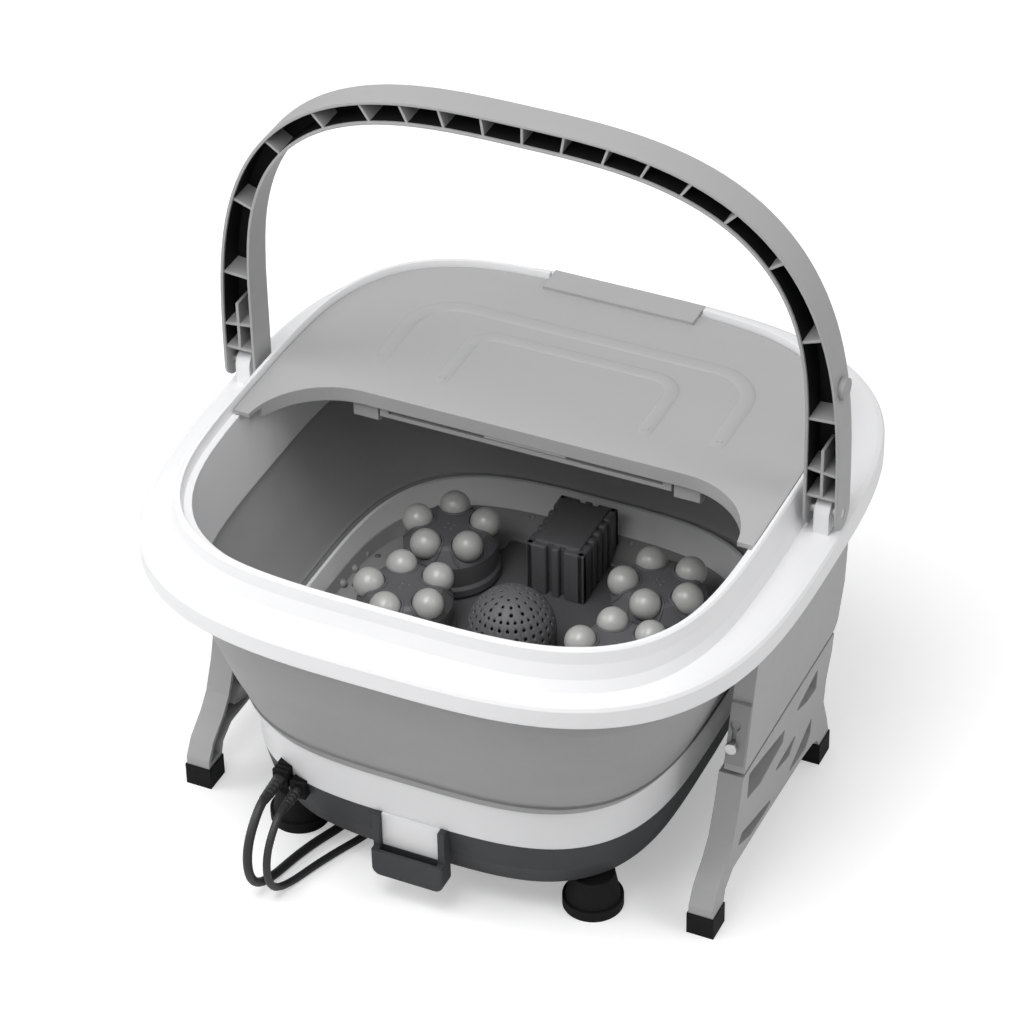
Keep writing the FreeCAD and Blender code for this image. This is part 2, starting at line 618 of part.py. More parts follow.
posts = []
pads = []
for side in ("-", ""):
    for row in ("front", "rear"):
        name = ("Left" if side else "Right") + row.title()
        post = primitive("Cone", "FootPost" + name, Radius1="Sizes.foot_radius - 2", Radius2="Sizes.foot_neck",
                         Height="Sizes.housing_z - Sizes.pad_tall", Base_z="Sizes.pad_tall")
        pad = primitive("Cylinder", "FootPad" + name, Radius="Sizes.foot_radius", Height="Sizes.pad_tall")
        for thing in (post, pad):
            bind(thing, Base_x=f"{side}Sizes.foot_x", Base_y=f"Sizes.foot_{row}_y")
        posts.append(post)
        pads.append(pad)
node("foot_posts", group("FootPosts", posts))
node("foot_pads", group("FootPads", pads))

plug = primitive("Cylinder", "DrainPlug", Radius="Sizes.drain_radius - 4 - Sizes.shaft_gap", Height="8",
                 Base_x="Sizes.drain_x", Base_y="Sizes.drain_y", Base_z="Sizes.housing_z - 1")
flange = primitive("Cylinder", "DrainFlange", Radius="Sizes.drain_radius", Height="7",
                   Base_x="Sizes.drain_x", Base_y="Sizes.drain_y",
                   Base_z="Sizes.housing_z - 7 - Sizes.seat_gap")
wing = primitive("Box", "DrainWing", Length="Sizes.drain_radius * 1.4", Width="4", Height="3",
                 Base_x="Sizes.drain_x - Sizes.drain_radius * 0.7", Base_y="Sizes.drain_y - 2",
                 Base_z="Sizes.housing_z - 10 - Sizes.seat_gap")
node("drain_cap", joined("DrainCap", [plug, flange, wing]))


# Side legs and the fixed panels above them

panel_top = under_z
leg_inner = s.leg_face - s.leg_deep
edge_slant = 0.27


def front_edge_y(height):
    """The slanting front edge that panel and leg share above the knee."""
    return -72 + (height - s.panel_z) * edge_slant


panel_points = [(front_edge_y(panel_top), panel_top), (front_edge_y(s.panel_z), s.panel_z),
                (82, s.panel_z), (88, s.panel_z + 4), (98, 126), (101, 150), (104, panel_top)]
leg_top = s.panel_z - s.leg_gap
leg_points = [(front_edge_y(leg_top), leg_top), (-79, 74), (-88, 54), (-97, 44), (-112, 33), (-119, 22)]
leg_points += [(-119.5, s.cap_tall), (-102.3, s.cap_tall), (-99, 25), (-87, 32), (-33, 31.5), (32, 29)]
leg_points += [(48, 27), (57, 23), (61.3, s.cap_tall), (78, s.cap_tall), (74, 30), (67, 48), (70, 64)]
leg_points += [(79, 82), (82, leg_top)]
windows = [
    [(-63, 90), (-2, 79), (-6, 71), (-45, 67), (-66, 72)],
    [(14, 79), (54, 86), (52, 71), (36, 72)],
    [(-73, 50), (-18, 37), (-34, 35), (-58, 36), (-80, 44)],
    [(-25, 57.5), (20, 60), (6, 50)],
    [(3, 36), (46, 52), (44, 40), (36, 33)],
]


def side_panel():
    face = s.leg_face
    shell = plate_yz(panel_points, leg_inner + 3, face)
    inset = [(front_edge_y(panel_top + 9) + 4, panel_top + 9), (front_edge_y(s.panel_z - 9) + 4, s.panel_z - 9),
             (78, s.panel_z - 9), (84, s.panel_z + 5), (94, 126), (97, 150), (100, panel_top + 9)]
    shell = shell.cut(plate_yz(inset, leg_inner, face - s.leg_wall))
    room = loft(*[between(bellows_share(height), 4 + s.clamp_thick, height)
                  for height in (s.band_z, 120, 145, 165, bellows_hang)],
                between(1, 4 + s.clamp_thick, panel_top + 1))
    edge_x = face - s.leg_wall
    keep = box(edge_x, face, -200, 200, 0, panel_top + 1)
    shell = shell.common(keep).fuse(shell.cut(room).cut(keep))
    hole = rod(s.pin_radius + s.shaft_gap, (s.pin_x, -100, s.pin_z), (s.pin_x, 120, s.pin_z))
    return shell.cut(hole)


def hinge_plate():
    low = s.panel_z + 6
    high = s.panel_z + 46
    front = s.hinge_plate
    points = [(front_edge_y(low), low), (front_edge_y(low) - front, low),
              (front_edge_y(high) - front, high), (front_edge_y(high), high)]
    plate = plate_yz(points, leg_inner + 3.5, s.leg_face - 0.3)
    pin_hole = rod(s.pin_radius + s.shaft_gap, (s.pin_x, -100, s.pin_z), (s.pin_x, 0, s.pin_z))
    slot_z = s.pin_z + 13
    slot = rod(s.pin_radius + 1, (s.pin_x, -100, slot_z), (s.pin_x, 0, slot_z))
    neck = box(s.pin_x - 1.5, s.pin_x + 1.5, -100, 0, s.pin_z, slot_z)
    return plate.cut(pin_hole.fuse([slot, neck]))


def leg_pin():
    """Pin through plate, panel and ears, with a head at the front."""
    front = front_edge_y(s.pin_z) - s.hinge_plate - 2
    head = rod(s.pin_radius + 1.5, (s.pin_x, front - 2, s.pin_z), (s.pin_x, front, s.pin_z))
    return rod(s.pin_radius, (s.pin_x, front - 1, s.pin_z), (s.pin_x, 95, s.pin_z)).fuse(head)


def leg():
    face = s.leg_face
    body = plate_yz(leg_points, leg_inner, face)
    corners = [Vector(leg_inner, y, z) for y, z in leg_points]
    inner = Part.Face(Part.makePolygon(corners + corners[:1])).makeOffset2D(-s.leg_wall)
    pocket = inner.extrude(Vector(s.leg_deep - s.leg_wall - 1, 0, 0))
    walls = []
    holes = []
    for points in windows:
        ring = [Vector(leg_inner, y, z) for y, z in points]
        window = Part.Face(Part.makePolygon(ring + ring[:1]))
        walls.append(window.makeOffset2D(2.2).extrude(Vector(s.leg_deep - 1, 0, 0)))
        holes.append(plate_yz(points, leg_inner - 1, face + 1, rounding=1.5))
    body = body.cut(pocket.cut(walls)).cut(holes)
    ears = []
    for y_low in (-60, 30, 72):
        y_high = y_low + s.ear_thick
        eye = rod(s.ear_radius, (s.pin_x, y_low, s.pin_z), (s.pin_x, y_high, s.pin_z))
        stem = box(s.pin_x - s.ear_radius, s.pin_x + s.ear_radius, y_low, y_high, leg_top - 8, s.pin_z)
        ears.append(eye.fuse(stem))
    hole = rod(s.pin_radius + s.shaft_gap, (s.pin_x, -100, s.pin_z), (s.pin_x, 120, s.pin_z))
    return body.fuse(ears).cut(hole)


def leg_caps():
    """Rubber caps under the two ends of a leg."""
    caps = [box(leg_inner - 0.8, s.leg_face + 0.8, y_low, y_high, 0, s.cap_tall)
            for y_low, y_high in ((-120.3, -101.5), (60.5, 78.8))]
    return Part.makeCompound(caps)


for name, place in (("right", lambda shape: shape), ("left", mirrored)):
    title = name.title()
    node(name + "_side_panel", feature(title + "SidePanel", place(side_panel())))
    node(name + "_hinge_plate", feature(title + "HingePlate", place(hinge_plate())))
    node(name + "_leg_pin", feature(title + "LegPin", place(leg_pin())))
    node(name + "_leg", feature(title + "Leg", place(leg())))
    node(name + "_leg_caps", feature(title + "LegCaps", place(leg_caps())))


# Carrying handle: an arch with a ribbed channel on its front

def arch_edge(half_wide, shoulder, top, offset):
    """Half-round arch line from foot to foot, as a superellipse above its shoulders."""
    wide = half_wide + offset
    tall = top + offset - shoulder
    points = []
    for step in range(25):
        turn = math.pi * step / 24
        reach = (abs(math.cos(turn)) / wide) ** s.handle_power + (abs(math.sin(turn)) / tall) ** s.handle_power
        reach = reach ** (-1 / s.handle_power)
        points.append(Vector(reach * math.cos(turn), 0, shoulder + reach * math.sin(turn)))
    curve = Part.BSplineCurve()
    curve.interpolate(Points=points, InitialTangent=Vector(0, 0, 1), FinalTangent=Vector(0, 0, -1))
    return curve.toShape(), points[0], points[-1]


def arch_solid(half_wide, shoulder, top, offset, foot, y_low, y_high):
    curve, right, left = arch_edge(half_wide, shoulder, top, offset)
    right_foot = Vector(right.x, 0, foot)
    left_foot = Vector(left.x, 0, foot)
    edges = [Part.LineSegment(right_foot, right).toShape(), curve,
             Part.LineSegment(left, left_foot).toShape(), Part.LineSegment(left_foot, right_foot).toShape()]
    face = Part.Face(Part.Wire(edges))
    face.translate(Vector(0, y_low, 0))
    return face.extrude(Vector(0, y_high - y_low, 0))


handle_front = s.handle_y - s.handle_deep / 2
handle_back = s.handle_y + s.handle_deep / 2
handle_foot = s.pivot_z - s.handle_deep / 2


def outer_arch(offset, foot, y_low, y_high):
    return arch_solid(s.handle_half_wide, s.handle_shoulder_z, s.handle_z, offset, foot, y_low, y_high)


def inner_arch(offset, foot, y_low, y_high):
    return arch_solid(s.handle_inner_half, s.handle_inner_shoulder_z, s.handle_inner_z, offset, foot,
                      y_low, y_high)


def channel_ribs(tilts):
    """Thin walls across the channel, each square to the arch at its own angle."""
    middle_z = 300.0
    ribs = []
    for tilt in tilts:
        way = Vector(math.sin(math.radians(tilt)), 0, math.cos(math.radians(tilt)))
        rib = Part.makeBox(300, s.handle_deep - s.handle_wall - 1, s.rib_thick,
                           Vector(100, handle_front + 1.5, -s.rib_thick / 2))
        rib.rotate(Vector(0, 0, 0), Vector(0, 1, 0), tilt - 90)
        rib.translate(Vector(0, 0, middle_z))
        ribs.append(rib)
    return ribs


rib_tilts = [97, 86, 70, 55, 44, 35, 27, 19, 10, 1, -8, -17, -25, -33, -43, -55, -70, -86, -97]


def handle():
    wall = s.handle_wall
    arch = outer_arch(0, handle_foot, handle_front, handle_back)
    arch = arch.cut(inner_arch(0, handle_foot - 1, handle_front - 1, handle_back + 1))
    channel = outer_arch(-wall, handle_foot - 1, handle_front - 1, handle_back - wall)
    channel = channel.cut(inner_arch(wall, handle_foot - 2, handle_front - 2, handle_back))
    clear_z = s.pivot_z + s.lug_radius + 2
    ribs = [rib.common(channel) for rib in channel_ribs(rib_tilts)]
    webs = [box(side * lug_x - 1, side * lug_x + 1, handle_front + 1.5, handle_back - 1,
                clear_z + 6, clear_z + 40) for side in (-1, 1)]
    floors = [box(side * lug_x - 10, side * lug_x + 10, handle_front + 1.5, handle_back - 1,
                  clear_z + 4, clear_z + 6) for side in (-1, 1)]
    arch = arch.cut(channel).fuse(ribs + webs + floors)
    round_end = rod(s.handle_deep / 2, (-300, s.handle_y, s.pivot_z), (300, s.handle_y, s.pivot_z))
    above = box(-300, 300, handle_front - 1, handle_back + 1, s.pivot_z, s.handle_z + 1)
    hole = rod(s.handle_pin + s.shaft_gap, (-300, s.handle_y, s.pivot_z), (300, s.handle_y, s.pivot_z))
    return arch.common(round_end.fuse(above)).cut(hole)


node("handle", feature("Handle", handle()))
stud = primitive("Cylinder", "HandleStud", turn=((0, 1, 0), 90), Radius="7", Height="4.1",
                 Base_x="Sizes.handle_half_wide - 4.6", Base_y="Sizes.handle_y", Base_z="Sizes.pivot_z + 92")
stud_part = cut("HandleBumper", stud, doc.getObject("Handle"))
node("handle_bumper", stud_part)


# Half lid over the rear of the mouth

lid_low = ledge_z + s.seat_gap
lid_top = lid_low + s.lid_thick


def lid_front_tool(grow, z_low, z_high):
    """The open front region that the lid's edge goes round, with big round corners."""
    reach = s.lid_horn + grow
    front = s.lid_front_y + grow
    corner = s.lid_corner
    block = box(-reach, reach, -400, front, z_low, z_high)
    edges = [edge for edge in block.Edges
             if abs(edge.Vertexes[0].Y - front) < 0.01 and abs(edge.Vertexes[1].Y - front) < 0.01
             and abs(edge.Vertexes[0].Z - edge.Vertexes[1].Z) > 1]
    return block.makeFillet(corner, edges)


def contour_band(half_wide, rear_y, corner, front_y, wide):
    """A raised U on the lid: a rounded band that opens to the front."""
    def plan(grow):
        block = box(-half_wide - grow, half_wide + grow, -200, rear_y + grow, lid_top - 1, lid_top + 0.9)
        edges = [edge for edge in block.Edges
                 if abs(edge.Vertexes[0].Y - rear_y - grow) < 0.01
                 and abs(edge.Vertexes[0].Z - edge.Vertexes[1].Z) > 1]
        return block.makeFillet(corner + grow, edges)
    band = plan(0).cut(plan(-wide))
    return band.cut(box(-300, 300, -300, front_y, lid_low - 5, lid_top + 5))


def lid():
    plan = loft(mouth(-1 - s.lid_gap, lid_low), mouth(-0.6 - s.lid_gap, lid_top))
    behind = box(-300, 300, -42, 300, lid_low - 1, lid_top + 1)
    plate = plan.common(behind).cut(lid_front_tool(0, lid_low - 1, lid_top + 1))
    lip_low = lid_low - s.lip_drop
    lip = lid_front_tool(2.5, lip_low, lid_top - 1).cut(lid_front_tool(0, lip_low - 1, lid_top))
    water = loft(mouth(wall_inside(s.inner_wall_z) - 1, lip_low - 1), mouth(wall_inside(ledge_z) - 1, lid_low),
                 mouth(wall_inside(ledge_z) - 1, lid_top))
    lip = lip.common(water).common(box(-300, 300, -30, 300, lip_low, lid_top))
    rear = s.mouth_y + s.mouth_half_deep
    tab = box(-s.lid_tab / 2, s.lid_tab / 2, rear - 14, rear + 6.5, lid_low + 3.9, lid_top + 2.4)
    step = box(-s.lid_tab / 2, s.lid_tab / 2, rear - 14, rear - 3, lid_low + 1, lid_top + 2.4)
    bands = [contour_band(119, 121, 32, 46, 4), contour_band(72, 98, 18, 40, 4)]
    return plate.fuse([lip, tab, step] + bands)


node("lid", feature("Lid", lid()))

rail_front = s.lid_front_y + 2.5 + s.seat_gap
rail_top = lid_low


def lid_rail():
    """Bar under the lid's front edge with a long slot for the missing front flap."""
    half = s.rail_wide / 2
    bar = box(-half, half, rail_front, rail_front + s.rail_deep, s.rail_z, rail_top)
    slot = box(-half + 6, half - 6, rail_front - 1, rail_front + 6, s.rail_z + 3, s.rail_z + 9)
    return bar.cut(slot)


strip_half = 28.0
node("lid_rail", feature("LidRail", lid_rail()))
strip = primitive("Box", "LidStrip", Length=str(2 * strip_half), Width="4", Height="5.6", Base_x=str(-strip_half),
                  Base_y="Sizes.lid_front_y + 2.5 + Sizes.seat_gap + 1.5", Base_z="Sizes.rail_z + 3.1")
node("lid_strip", strip)


def knuckles():
    """Two open hinge knuckles that hang a little below the rail, one past each end of it."""
    half = s.rail_wide / 2
    barrel_y = rail_front + 6
    barrel_z = s.rail_z - 1
    pieces = []
    for side in (-1, 1):
        low, high = sorted((side * (half + 1.5), side * (half + 19)))
        block = box(low, high, rail_front + 0.5, rail_front + 12, barrel_z - 3, rail_top)
        barrel = rod(5.5, (low, barrel_y, barrel_z), (high, barrel_y, barrel_z))
        hole = rod(1.6, (low - 1, barrel_y, barrel_z), (high + 1, barrel_y, barrel_z))
        pieces.append(block.fuse(barrel).cut(hole))
    return Part.makeCompound(pieces)


node("lid_knuckles", feature("LidKnuckles", knuckles()))


# Cords: tubes of straight runs and tangent arcs, then a neat coil and what is on the end

def rounded_route(points, name):
    """Straight runs joined by tangent arcs of 0.45 of the shorter run over the tangent of half the turn."""
    corners = [Vector(*point) for point in points]
    edges = []
    radii = []
    last = corners[0]
    for before, here, after in zip(corners, corners[1:], corners[2:]):
        into = here.sub(before)
        away = after.sub(here)
        half = into.getAngle(away) / 2
        short = 0.45 * min(into.Length, away.Length)
        radii.append(round(short / math.tan(half), 1))
        start = here.sub(into * (short / into.Length))
        end = here.add(away * (short / away.Length))
        inward = (start.sub(here).normalize()).add(end.sub(here).normalize()).normalize()
        middle = here.add(inward * (radii_depth(short, half)))
        edges.append(Part.LineSegment(last, start).toShape())
        edges.append(Part.Arc(start, middle, end).toShape())
        last = end
    edges.append(Part.LineSegment(last, corners[-1]).toShape())
    print(name, "arc radii", radii)
    return Part.Wire(edges)


def radii_depth(short, half):
    """How far inside its corner an arc's middle lies."""
    radius = short / math.tan(half)
    return radius / math.cos(half) - radius


def biarc(start, way_start, end, way_end):
    """Two tangent arcs from one point and direction to another, with equal control lengths."""
    chord = end.sub(start)
    both = way_start.add(way_end)
    a = 2 * (1 - way_start.dot(way_end))
    b = 2 * chord.dot(both)
    c = -chord.dot(chord)
    reach = -c / b if abs(a) < 1e-9 else (-b + math.sqrt(b * b - 4 * a * c)) / (2 * a)
    first = start.add(way_start * reach)
    second = end.sub(way_end * reach)
    joint = first.add(second) * 0.5
    return [arc_between(start, way_start, joint), arc_between(end, way_end * -1, joint)[::-1]], joint


def arc_between(start, way, end):
    """Three points of the arc that leaves start along way and reaches end."""
    chord = end.sub(start)
    bend = chord.sub(way * chord.dot(way))
    if bend.Length < 1e-7:
        return [start, start.add(end) * 0.5, end]
    side = bend.normalize()
    radius = chord.dot(chord) / (2 * chord.dot(side))
    centre = start.add(side * radius)
    outward = start.sub(centre).add(end.sub(centre))
    if outward.Length < 1e-7:
        outward = way * -1
    return [start, centre.add(outward.normalize() * radius), end]


coil_pitch = 1.25


def coil_line(coil, thick):
    """Points and directions each eighth turn: in over one layer, up half a turn, out over the next."""
    half = coil["turns"] / 2
    pitch = coil_pitch * thick
    inner = coil["radius"] - pitch * half / 2

    def place(turn):
        radius = inner + pitch * max(half - turn, 0, turn - half - 0.5)
        share = min(max((turn - half) * 2, 0), 1)
        height = thick / 2 + pitch * share * share * (3 - 2 * share)
        angle = math.radians(coil["start"]) + coil["spin"] * 2 * math.pi * turn
        return Vector(coil["x"] + radius * math.cos(angle), coil["y"] + radius * math.sin(angle), height)

    stops = []
    last_turn = coil["turns"] + 0.5
    small = 1e-4
    for step in range(int(last_turn * 8) + 1):
        turn = step / 8
        way = place(turn + small).sub(place(turn - small)).normalize()
        stops.append((place(turn), way))
    first, way = stops[0]
    stops[0] = (first, Vector(0, 1, 0))
    last, way = stops[-1]
    stops[-1] = (last, Vector(0, -1, 0))
    return stops


def coil_wire(stops, lead):
    """Arcs through the stops, with a straight end one cord wide at each side."""
    edges = []
    first, way = stops[0]
    edges.append(Part.LineSegment(first.sub(way * lead), first).toShape())
    for (start, way_start), (end, way_end) in zip(stops, stops[1:]):
        arcs, joint = biarc(start, way_start, end, way_end)
        for points in arcs:
            flat = points[1].sub(points[0]).cross(points[2].sub(points[0])).Length < 1e-6
            edges.append(Part.LineSegment(points[0], points[2]).toShape() if flat
                         else Part.Arc(*points).toShape())
    last, way = stops[-1]
    edges.append(Part.LineSegment(last, last.add(way * lead)).toShape())
    return Part.Wire(edges)


def tube(wire, radius):
    start = wire.OrderedEdges[0]
    point = start.valueAt(start.FirstParameter)
    way = start.tangentAt(start.FirstParameter)
    ring = Part.Wire([Part.makeCircle(radius, point, way)])
    shell = Part.BRepOffsetAPI.MakePipeShell(wire)
    shell.add(ring)
    shell.build()
    shell.makeSolid()
    return shell.shape()


def least_gap(wire, radius, steps=900):
    """Smallest space between a tube and itself, measured on points along its line."""
    points = wire.discretize(steps)
    spacing = wire.Length / steps
    skip = int(3 * 2 * radius / spacing) + 1
    nearest = min((points[i].sub(points[j])).Length for i in range(0, steps) for j in range(i + skip, steps))
    return nearest - 2 * radius


def coil_entry(coil, thick):
    """Where the straight end before the coil begins, one cord's width short of the outer turn."""
    outer = coil["radius"] + coil_pitch * thick * coil["turns"] / 4
    return (coil["x"] - coil["spin"] * -outer, coil["y"] - thick, thick / 2)


def cord(name, route, coil, thick):
    """One lead: its free run and its put-away coil. Returns where the coil's end points."""
    title = name.title().replace("_", "")
    run = rounded_route(route, name)
    solid = tube(run, thick / 2)
    section = math.pi * thick * thick / 4
    print(name, "run", round(run.Length, 1), "volume share", round(solid.Volume / (run.Length * section), 4))
    stops = coil_line(coil, thick)
    line = coil_wire(stops, thick)
    wound = tube(line, thick / 2)
    print(name, "coil", round(line.Length, 1), "volume share", round(wound.Volume / (line.Length * section), 4),
          "least gap", round(least_gap(line, thick / 2), 2))
    node(name, feature(title, solid))
    node(name + "_coil", feature(title + "Coil", wound))
    last, way = stops[-1]
    return last.add(way * thick)


def cord_start(x, z, radius):
    """Out of the grommet, then a half circle down to the floor, as four corners of 45 degrees."""
    side = radius * math.tan(math.radians(22.5))
    middle = grommet_face - 15
    low = z - 2 * radius
    return [(x, grommet_face, z), (x, middle - side, z), (x, middle - radius, z - radius + side),
            (x, middle - radius, low + radius - side), (x, middle - side, low)]


mains_low = s.mains_cord / 2
mains_loop = {"x": -100.0, "y": 290.0, "radius": 34.0, "turns": 5, "start": 0.0, "spin": 1}
mains_route = cord_start(s.mains_x, s.mains_z, (s.mains_z - mains_low) / 2)
mains_route += [(-84, -150, mains_low), (-68, -112, mains_low), (-62, -66, mains_low), (-70, -22, mains_low),
                (-66, 26, mains_low), (-72, 72, mains_low), (-62, 118, mains_low), (-66, 164, mains_low),
                (-54, 208, mains_low), (-57, 248, mains_low), coil_entry(mains_loop, s.mains_cord)]
mains_end = cord("mains_lead", mains_route, mains_loop, s.mains_cord)

control_low = s.control_cord / 2
control_loop = {"x": 8.0, "y": 284.0, "radius": 28.0, "turns": 3, "start": 180.0, "spin": -1}
control_route = cord_start(s.control_x, s.control_z, (s.control_z - control_low) / 2)
control_route += [(-68, -152, control_low), (-50, -114, control_low), (-44, -70, control_low),
                  (-50, -26, control_low), (-42, 20, control_low), (-46, 66, control_low),
                  (-34, 110, control_low), (-38, 156, control_low), (-26, 200, control_low),
                  (-25, 240, control_low), coil_entry(control_loop, s.control_cord)]
control_end = cord("control_lead", control_route, control_loop, s.control_cord)


def lead_end(place, thick, radius, body_long, pins):
    """Tapered sleeve, round body and contact pins that carry on from a coil's end towards -Y."""
    back = Vector(0, -1, 0)
    sleeve = Part.makeCone(thick / 2 + 0.8, radius * 0.7, 16, place, back)
    body_start = place.add(back * 16)
    body = Part.makeCylinder(radius, body_long, body_start, back)
    face = body_start.add(back * body_long)
    contacts = [Part.makeCylinder(pin_radius, pin_long, face.add(Vector(x, 1, 0)), back)
                for x, pin_radius, pin_long in pins]
    return sleeve.fuse([body] + contacts)


plug_pins = [(-5.2, 2.0, 20), (5.2, 2.0, 20)]
jack_pins = [(0, 5.5, 9)]
node("mains_plug", feature("MainsPlug", lead_end(mains_end, s.mains_cord, mains_end.z, 30, plug_pins)))
node("control_connector", feature("ControlConnector",
                                  lead_end(control_end, s.control_cord, control_end.z, 20, jack_pins)))


# Check everything, then write one file per node

doc.recompute()
for thing in doc.Objects:
    if "Invalid" in thing.State or "Error" in thing.State:
        raise RuntimeError(f"{thing.Name} failed: {thing.State}")
os.makedirs("parts", exist_ok=True)
for thing in nodes:
    shape = thing.Shape
    if shape.isNull() or not shape.isValid():
        raise RuntimeError(f"{thing.Label} has no valid shape")
    solids = shape.Solids
    size = shape.optimalBoundingBox(False)
    print(f"{thing.Label}: {len(solids)} solids, {shape.Volume / 1000:.1f} cm3, "
          f"x {size.XMin:.1f} to {size.XMax:.1f}, y {size.YMin:.1f} to {size.YMax:.1f}, "
          f"z {size.ZMin:.1f} to {size.ZMax:.1f}")
    shape.exportStep(f"parts/{thing.Label}.step")
print(len(nodes), "nodes")
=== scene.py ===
# %% [markdown]
# # A collapsible foot spa basin
# The basin has a white rim, a soft grey bellows, a white band, a dark foot housing, two folding legs,
# a tall carrying arch and a half lid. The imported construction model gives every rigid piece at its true
# size, and this lesson dresses it: it rebuilds what is soft or finely pierced and paints every surface.

# %% The frame
import json
import math
import bmesh
import bpy
from mathutils import Matrix, Vector


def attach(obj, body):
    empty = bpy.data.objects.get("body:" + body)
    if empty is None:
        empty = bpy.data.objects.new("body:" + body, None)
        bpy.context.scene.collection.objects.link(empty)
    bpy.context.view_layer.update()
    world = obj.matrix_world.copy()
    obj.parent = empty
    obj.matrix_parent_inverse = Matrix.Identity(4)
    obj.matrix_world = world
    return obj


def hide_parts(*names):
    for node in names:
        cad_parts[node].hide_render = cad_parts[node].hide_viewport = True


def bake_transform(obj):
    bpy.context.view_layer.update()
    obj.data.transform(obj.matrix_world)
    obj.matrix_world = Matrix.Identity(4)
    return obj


MM = 0.001
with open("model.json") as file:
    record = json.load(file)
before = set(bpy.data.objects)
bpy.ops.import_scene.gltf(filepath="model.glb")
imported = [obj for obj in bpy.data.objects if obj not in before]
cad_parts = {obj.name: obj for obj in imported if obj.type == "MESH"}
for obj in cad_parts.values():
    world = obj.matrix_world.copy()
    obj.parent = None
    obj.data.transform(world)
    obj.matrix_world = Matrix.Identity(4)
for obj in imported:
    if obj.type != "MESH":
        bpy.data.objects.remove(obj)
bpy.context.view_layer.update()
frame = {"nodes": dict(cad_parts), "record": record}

# %% [markdown]
# The photograph was taken from the right, in front and above, with a long lens. Four angles and a distance
# describe that camera. Its axes are built from them, which is plainer than aiming it at an empty.

# %% Camera
VIEW_AZIMUTH = math.radians(25.459)
VIEW_ELEVATION = math.radians(37.211)
VIEW_ROLL = math.radians(-1.2103)
VIEW_PLACE = Vector((856.8, -1807.7, 1712.5)) * MM
FOCAL_PIXELS = 3997.63
PICTURE_PIXELS = 1024

flat = math.cos(VIEW_ELEVATION)
back = Vector((math.sin(VIEW_AZIMUTH) * flat, -math.cos(VIEW_AZIMUTH) * flat, math.sin(VIEW_ELEVATION)))
level = Vector((math.cos(VIEW_AZIMUTH), math.sin(VIEW_AZIMUTH), 0))
upright = back.cross(level)
across = level * math.cos(VIEW_ROLL) + upright * math.sin(VIEW_ROLL)
upwards = upright * math.cos(VIEW_ROLL) - level * math.sin(VIEW_ROLL)
camera = bpy.data.objects.new("camera", bpy.data.cameras.new("camera"))
bpy.context.scene.collection.objects.link(camera)
camera.matrix_world = Matrix.Translation(VIEW_PLACE) @ Matrix((across, upwards, back)).transposed().to_4x4()
camera.data.sensor_width = 36
camera.data.lens = 36 * FOCAL_PIXELS / PICTURE_PIXELS
bpy.context.scene.camera = camera
print("lens in mm:", round(camera.data.lens, 1))

# %% [markdown]
# Two cords leave the left end of the white band: the mains lead and the lead of the hand control. A cord is
# best drawn as one smooth curve with a round section. Its control points follow the real route: straight
# out, down to the floor, back under the basin, and into a neat coil behind it.

# %% Coil points
TURN_POINTS = 16


def coil_points(centre, middle_radius, half_turns, start_degrees, spin, pitch, low):
    """Control points of a two-layer coil: it winds in below, climbs, and winds out above."""
    inner = middle_radius - pitch * half_turns / 2
    points = []
    for step in range(int((2 * half_turns + 0.5) * TURN_POINTS) + 1):
        turn = step / TURN_POINTS
        radius = inner + pitch * max(half_turns - turn, 0, turn - half_turns - 0.5)
        climb = min(max(2 * (turn - half_turns), 0), 1)
        height = low + pitch * climb * climb * (3 - 2 * climb)
        angle = math.radians(start_degrees) + spin * 2 * math.pi * turn
        points.append((centre[0] + radius * math.cos(angle), centre[1] + radius * math.sin(angle), height))
    return points


# %% Cord curves
def soft_line(name, route, radius):
    """One open smooth spline through the route's control points, with a round section."""
    line = bpy.data.curves.new(name, "CURVE")
    line.dimensions = "3D"
    line.bevel_depth = 1.0  # one metre, which the radius of each point scales down
    line.bevel_resolution = 5
    line.use_fill_caps = True
    spline = line.splines.new("NURBS")
    spline.points.add(len(route) - 1)
    for point, place in zip(spline.points, route):
        point.co = (*(Vector(place) * MM), 1)
        point.radius = radius * MM
    spline.order_u = 3
    spline.use_endpoint_u = True
    spline.resolution_u = 6
    piece = bpy.data.objects.new(name, line)
    bpy.context.scene.collection.objects.link(piece)
    return piece


# Both routes lie on the floor, so their low points are one cord radius above it.
MAINS_RADIUS, CONTROL_RADIUS = 3.0, 2.5
MAINS_EXIT = (-92, -161, 68)
CONTROL_EXIT = (-80, -161, 62.5)
mains_route = [MAINS_EXIT, (-92, -176, 68), (-92, -189.46, 68), (-92, -208.5, 48.96), (-92, -208.5, 22.04),
               (-92, -189.46, 3), (-84, -150, 3), (-68, -112, 3), (-62, -66, 3), (-70, -22, 3), (-66, 26, 3),
               (-72, 72, 3), (-62, 118, 3), (-66, 164, 3), (-54, 208, 3), (-57, 248, 3), (-56.625, 284, 3)]
mains_route += coil_points((-100, 290), 34, 2.5, 0, 1, 7.5, 3)
mains_route += [(-143.375, 284, 10.5)]
control_route = [CONTROL_EXIT, (-80, -175, 62.5), (-80, -188.43, 62.5), (-80, -206, 44.93),
                 (-80, -206, 20.07), (-80, -188.43, 2.5), (-68, -152, 2.5), (-50, -114, 2.5), (-44, -70, 2.5),
                 (-50, -26, 2.5), (-42, 20, 2.5), (-46, 66, 2.5), (-34, 110, 2.5), (-38, 156, 2.5),
                 (-26, 200, 2.5), (-25, 240, 2.5), (-24.6875, 279, 2.5)]
control_route += coil_points((8, 284), 28, 1.5, 180, -1, 6.25, 2.5)
control_route += [(40.6875, 279, 8.75)]
mains_cord = soft_line("mains_cord", mains_route, MAINS_RADIUS)
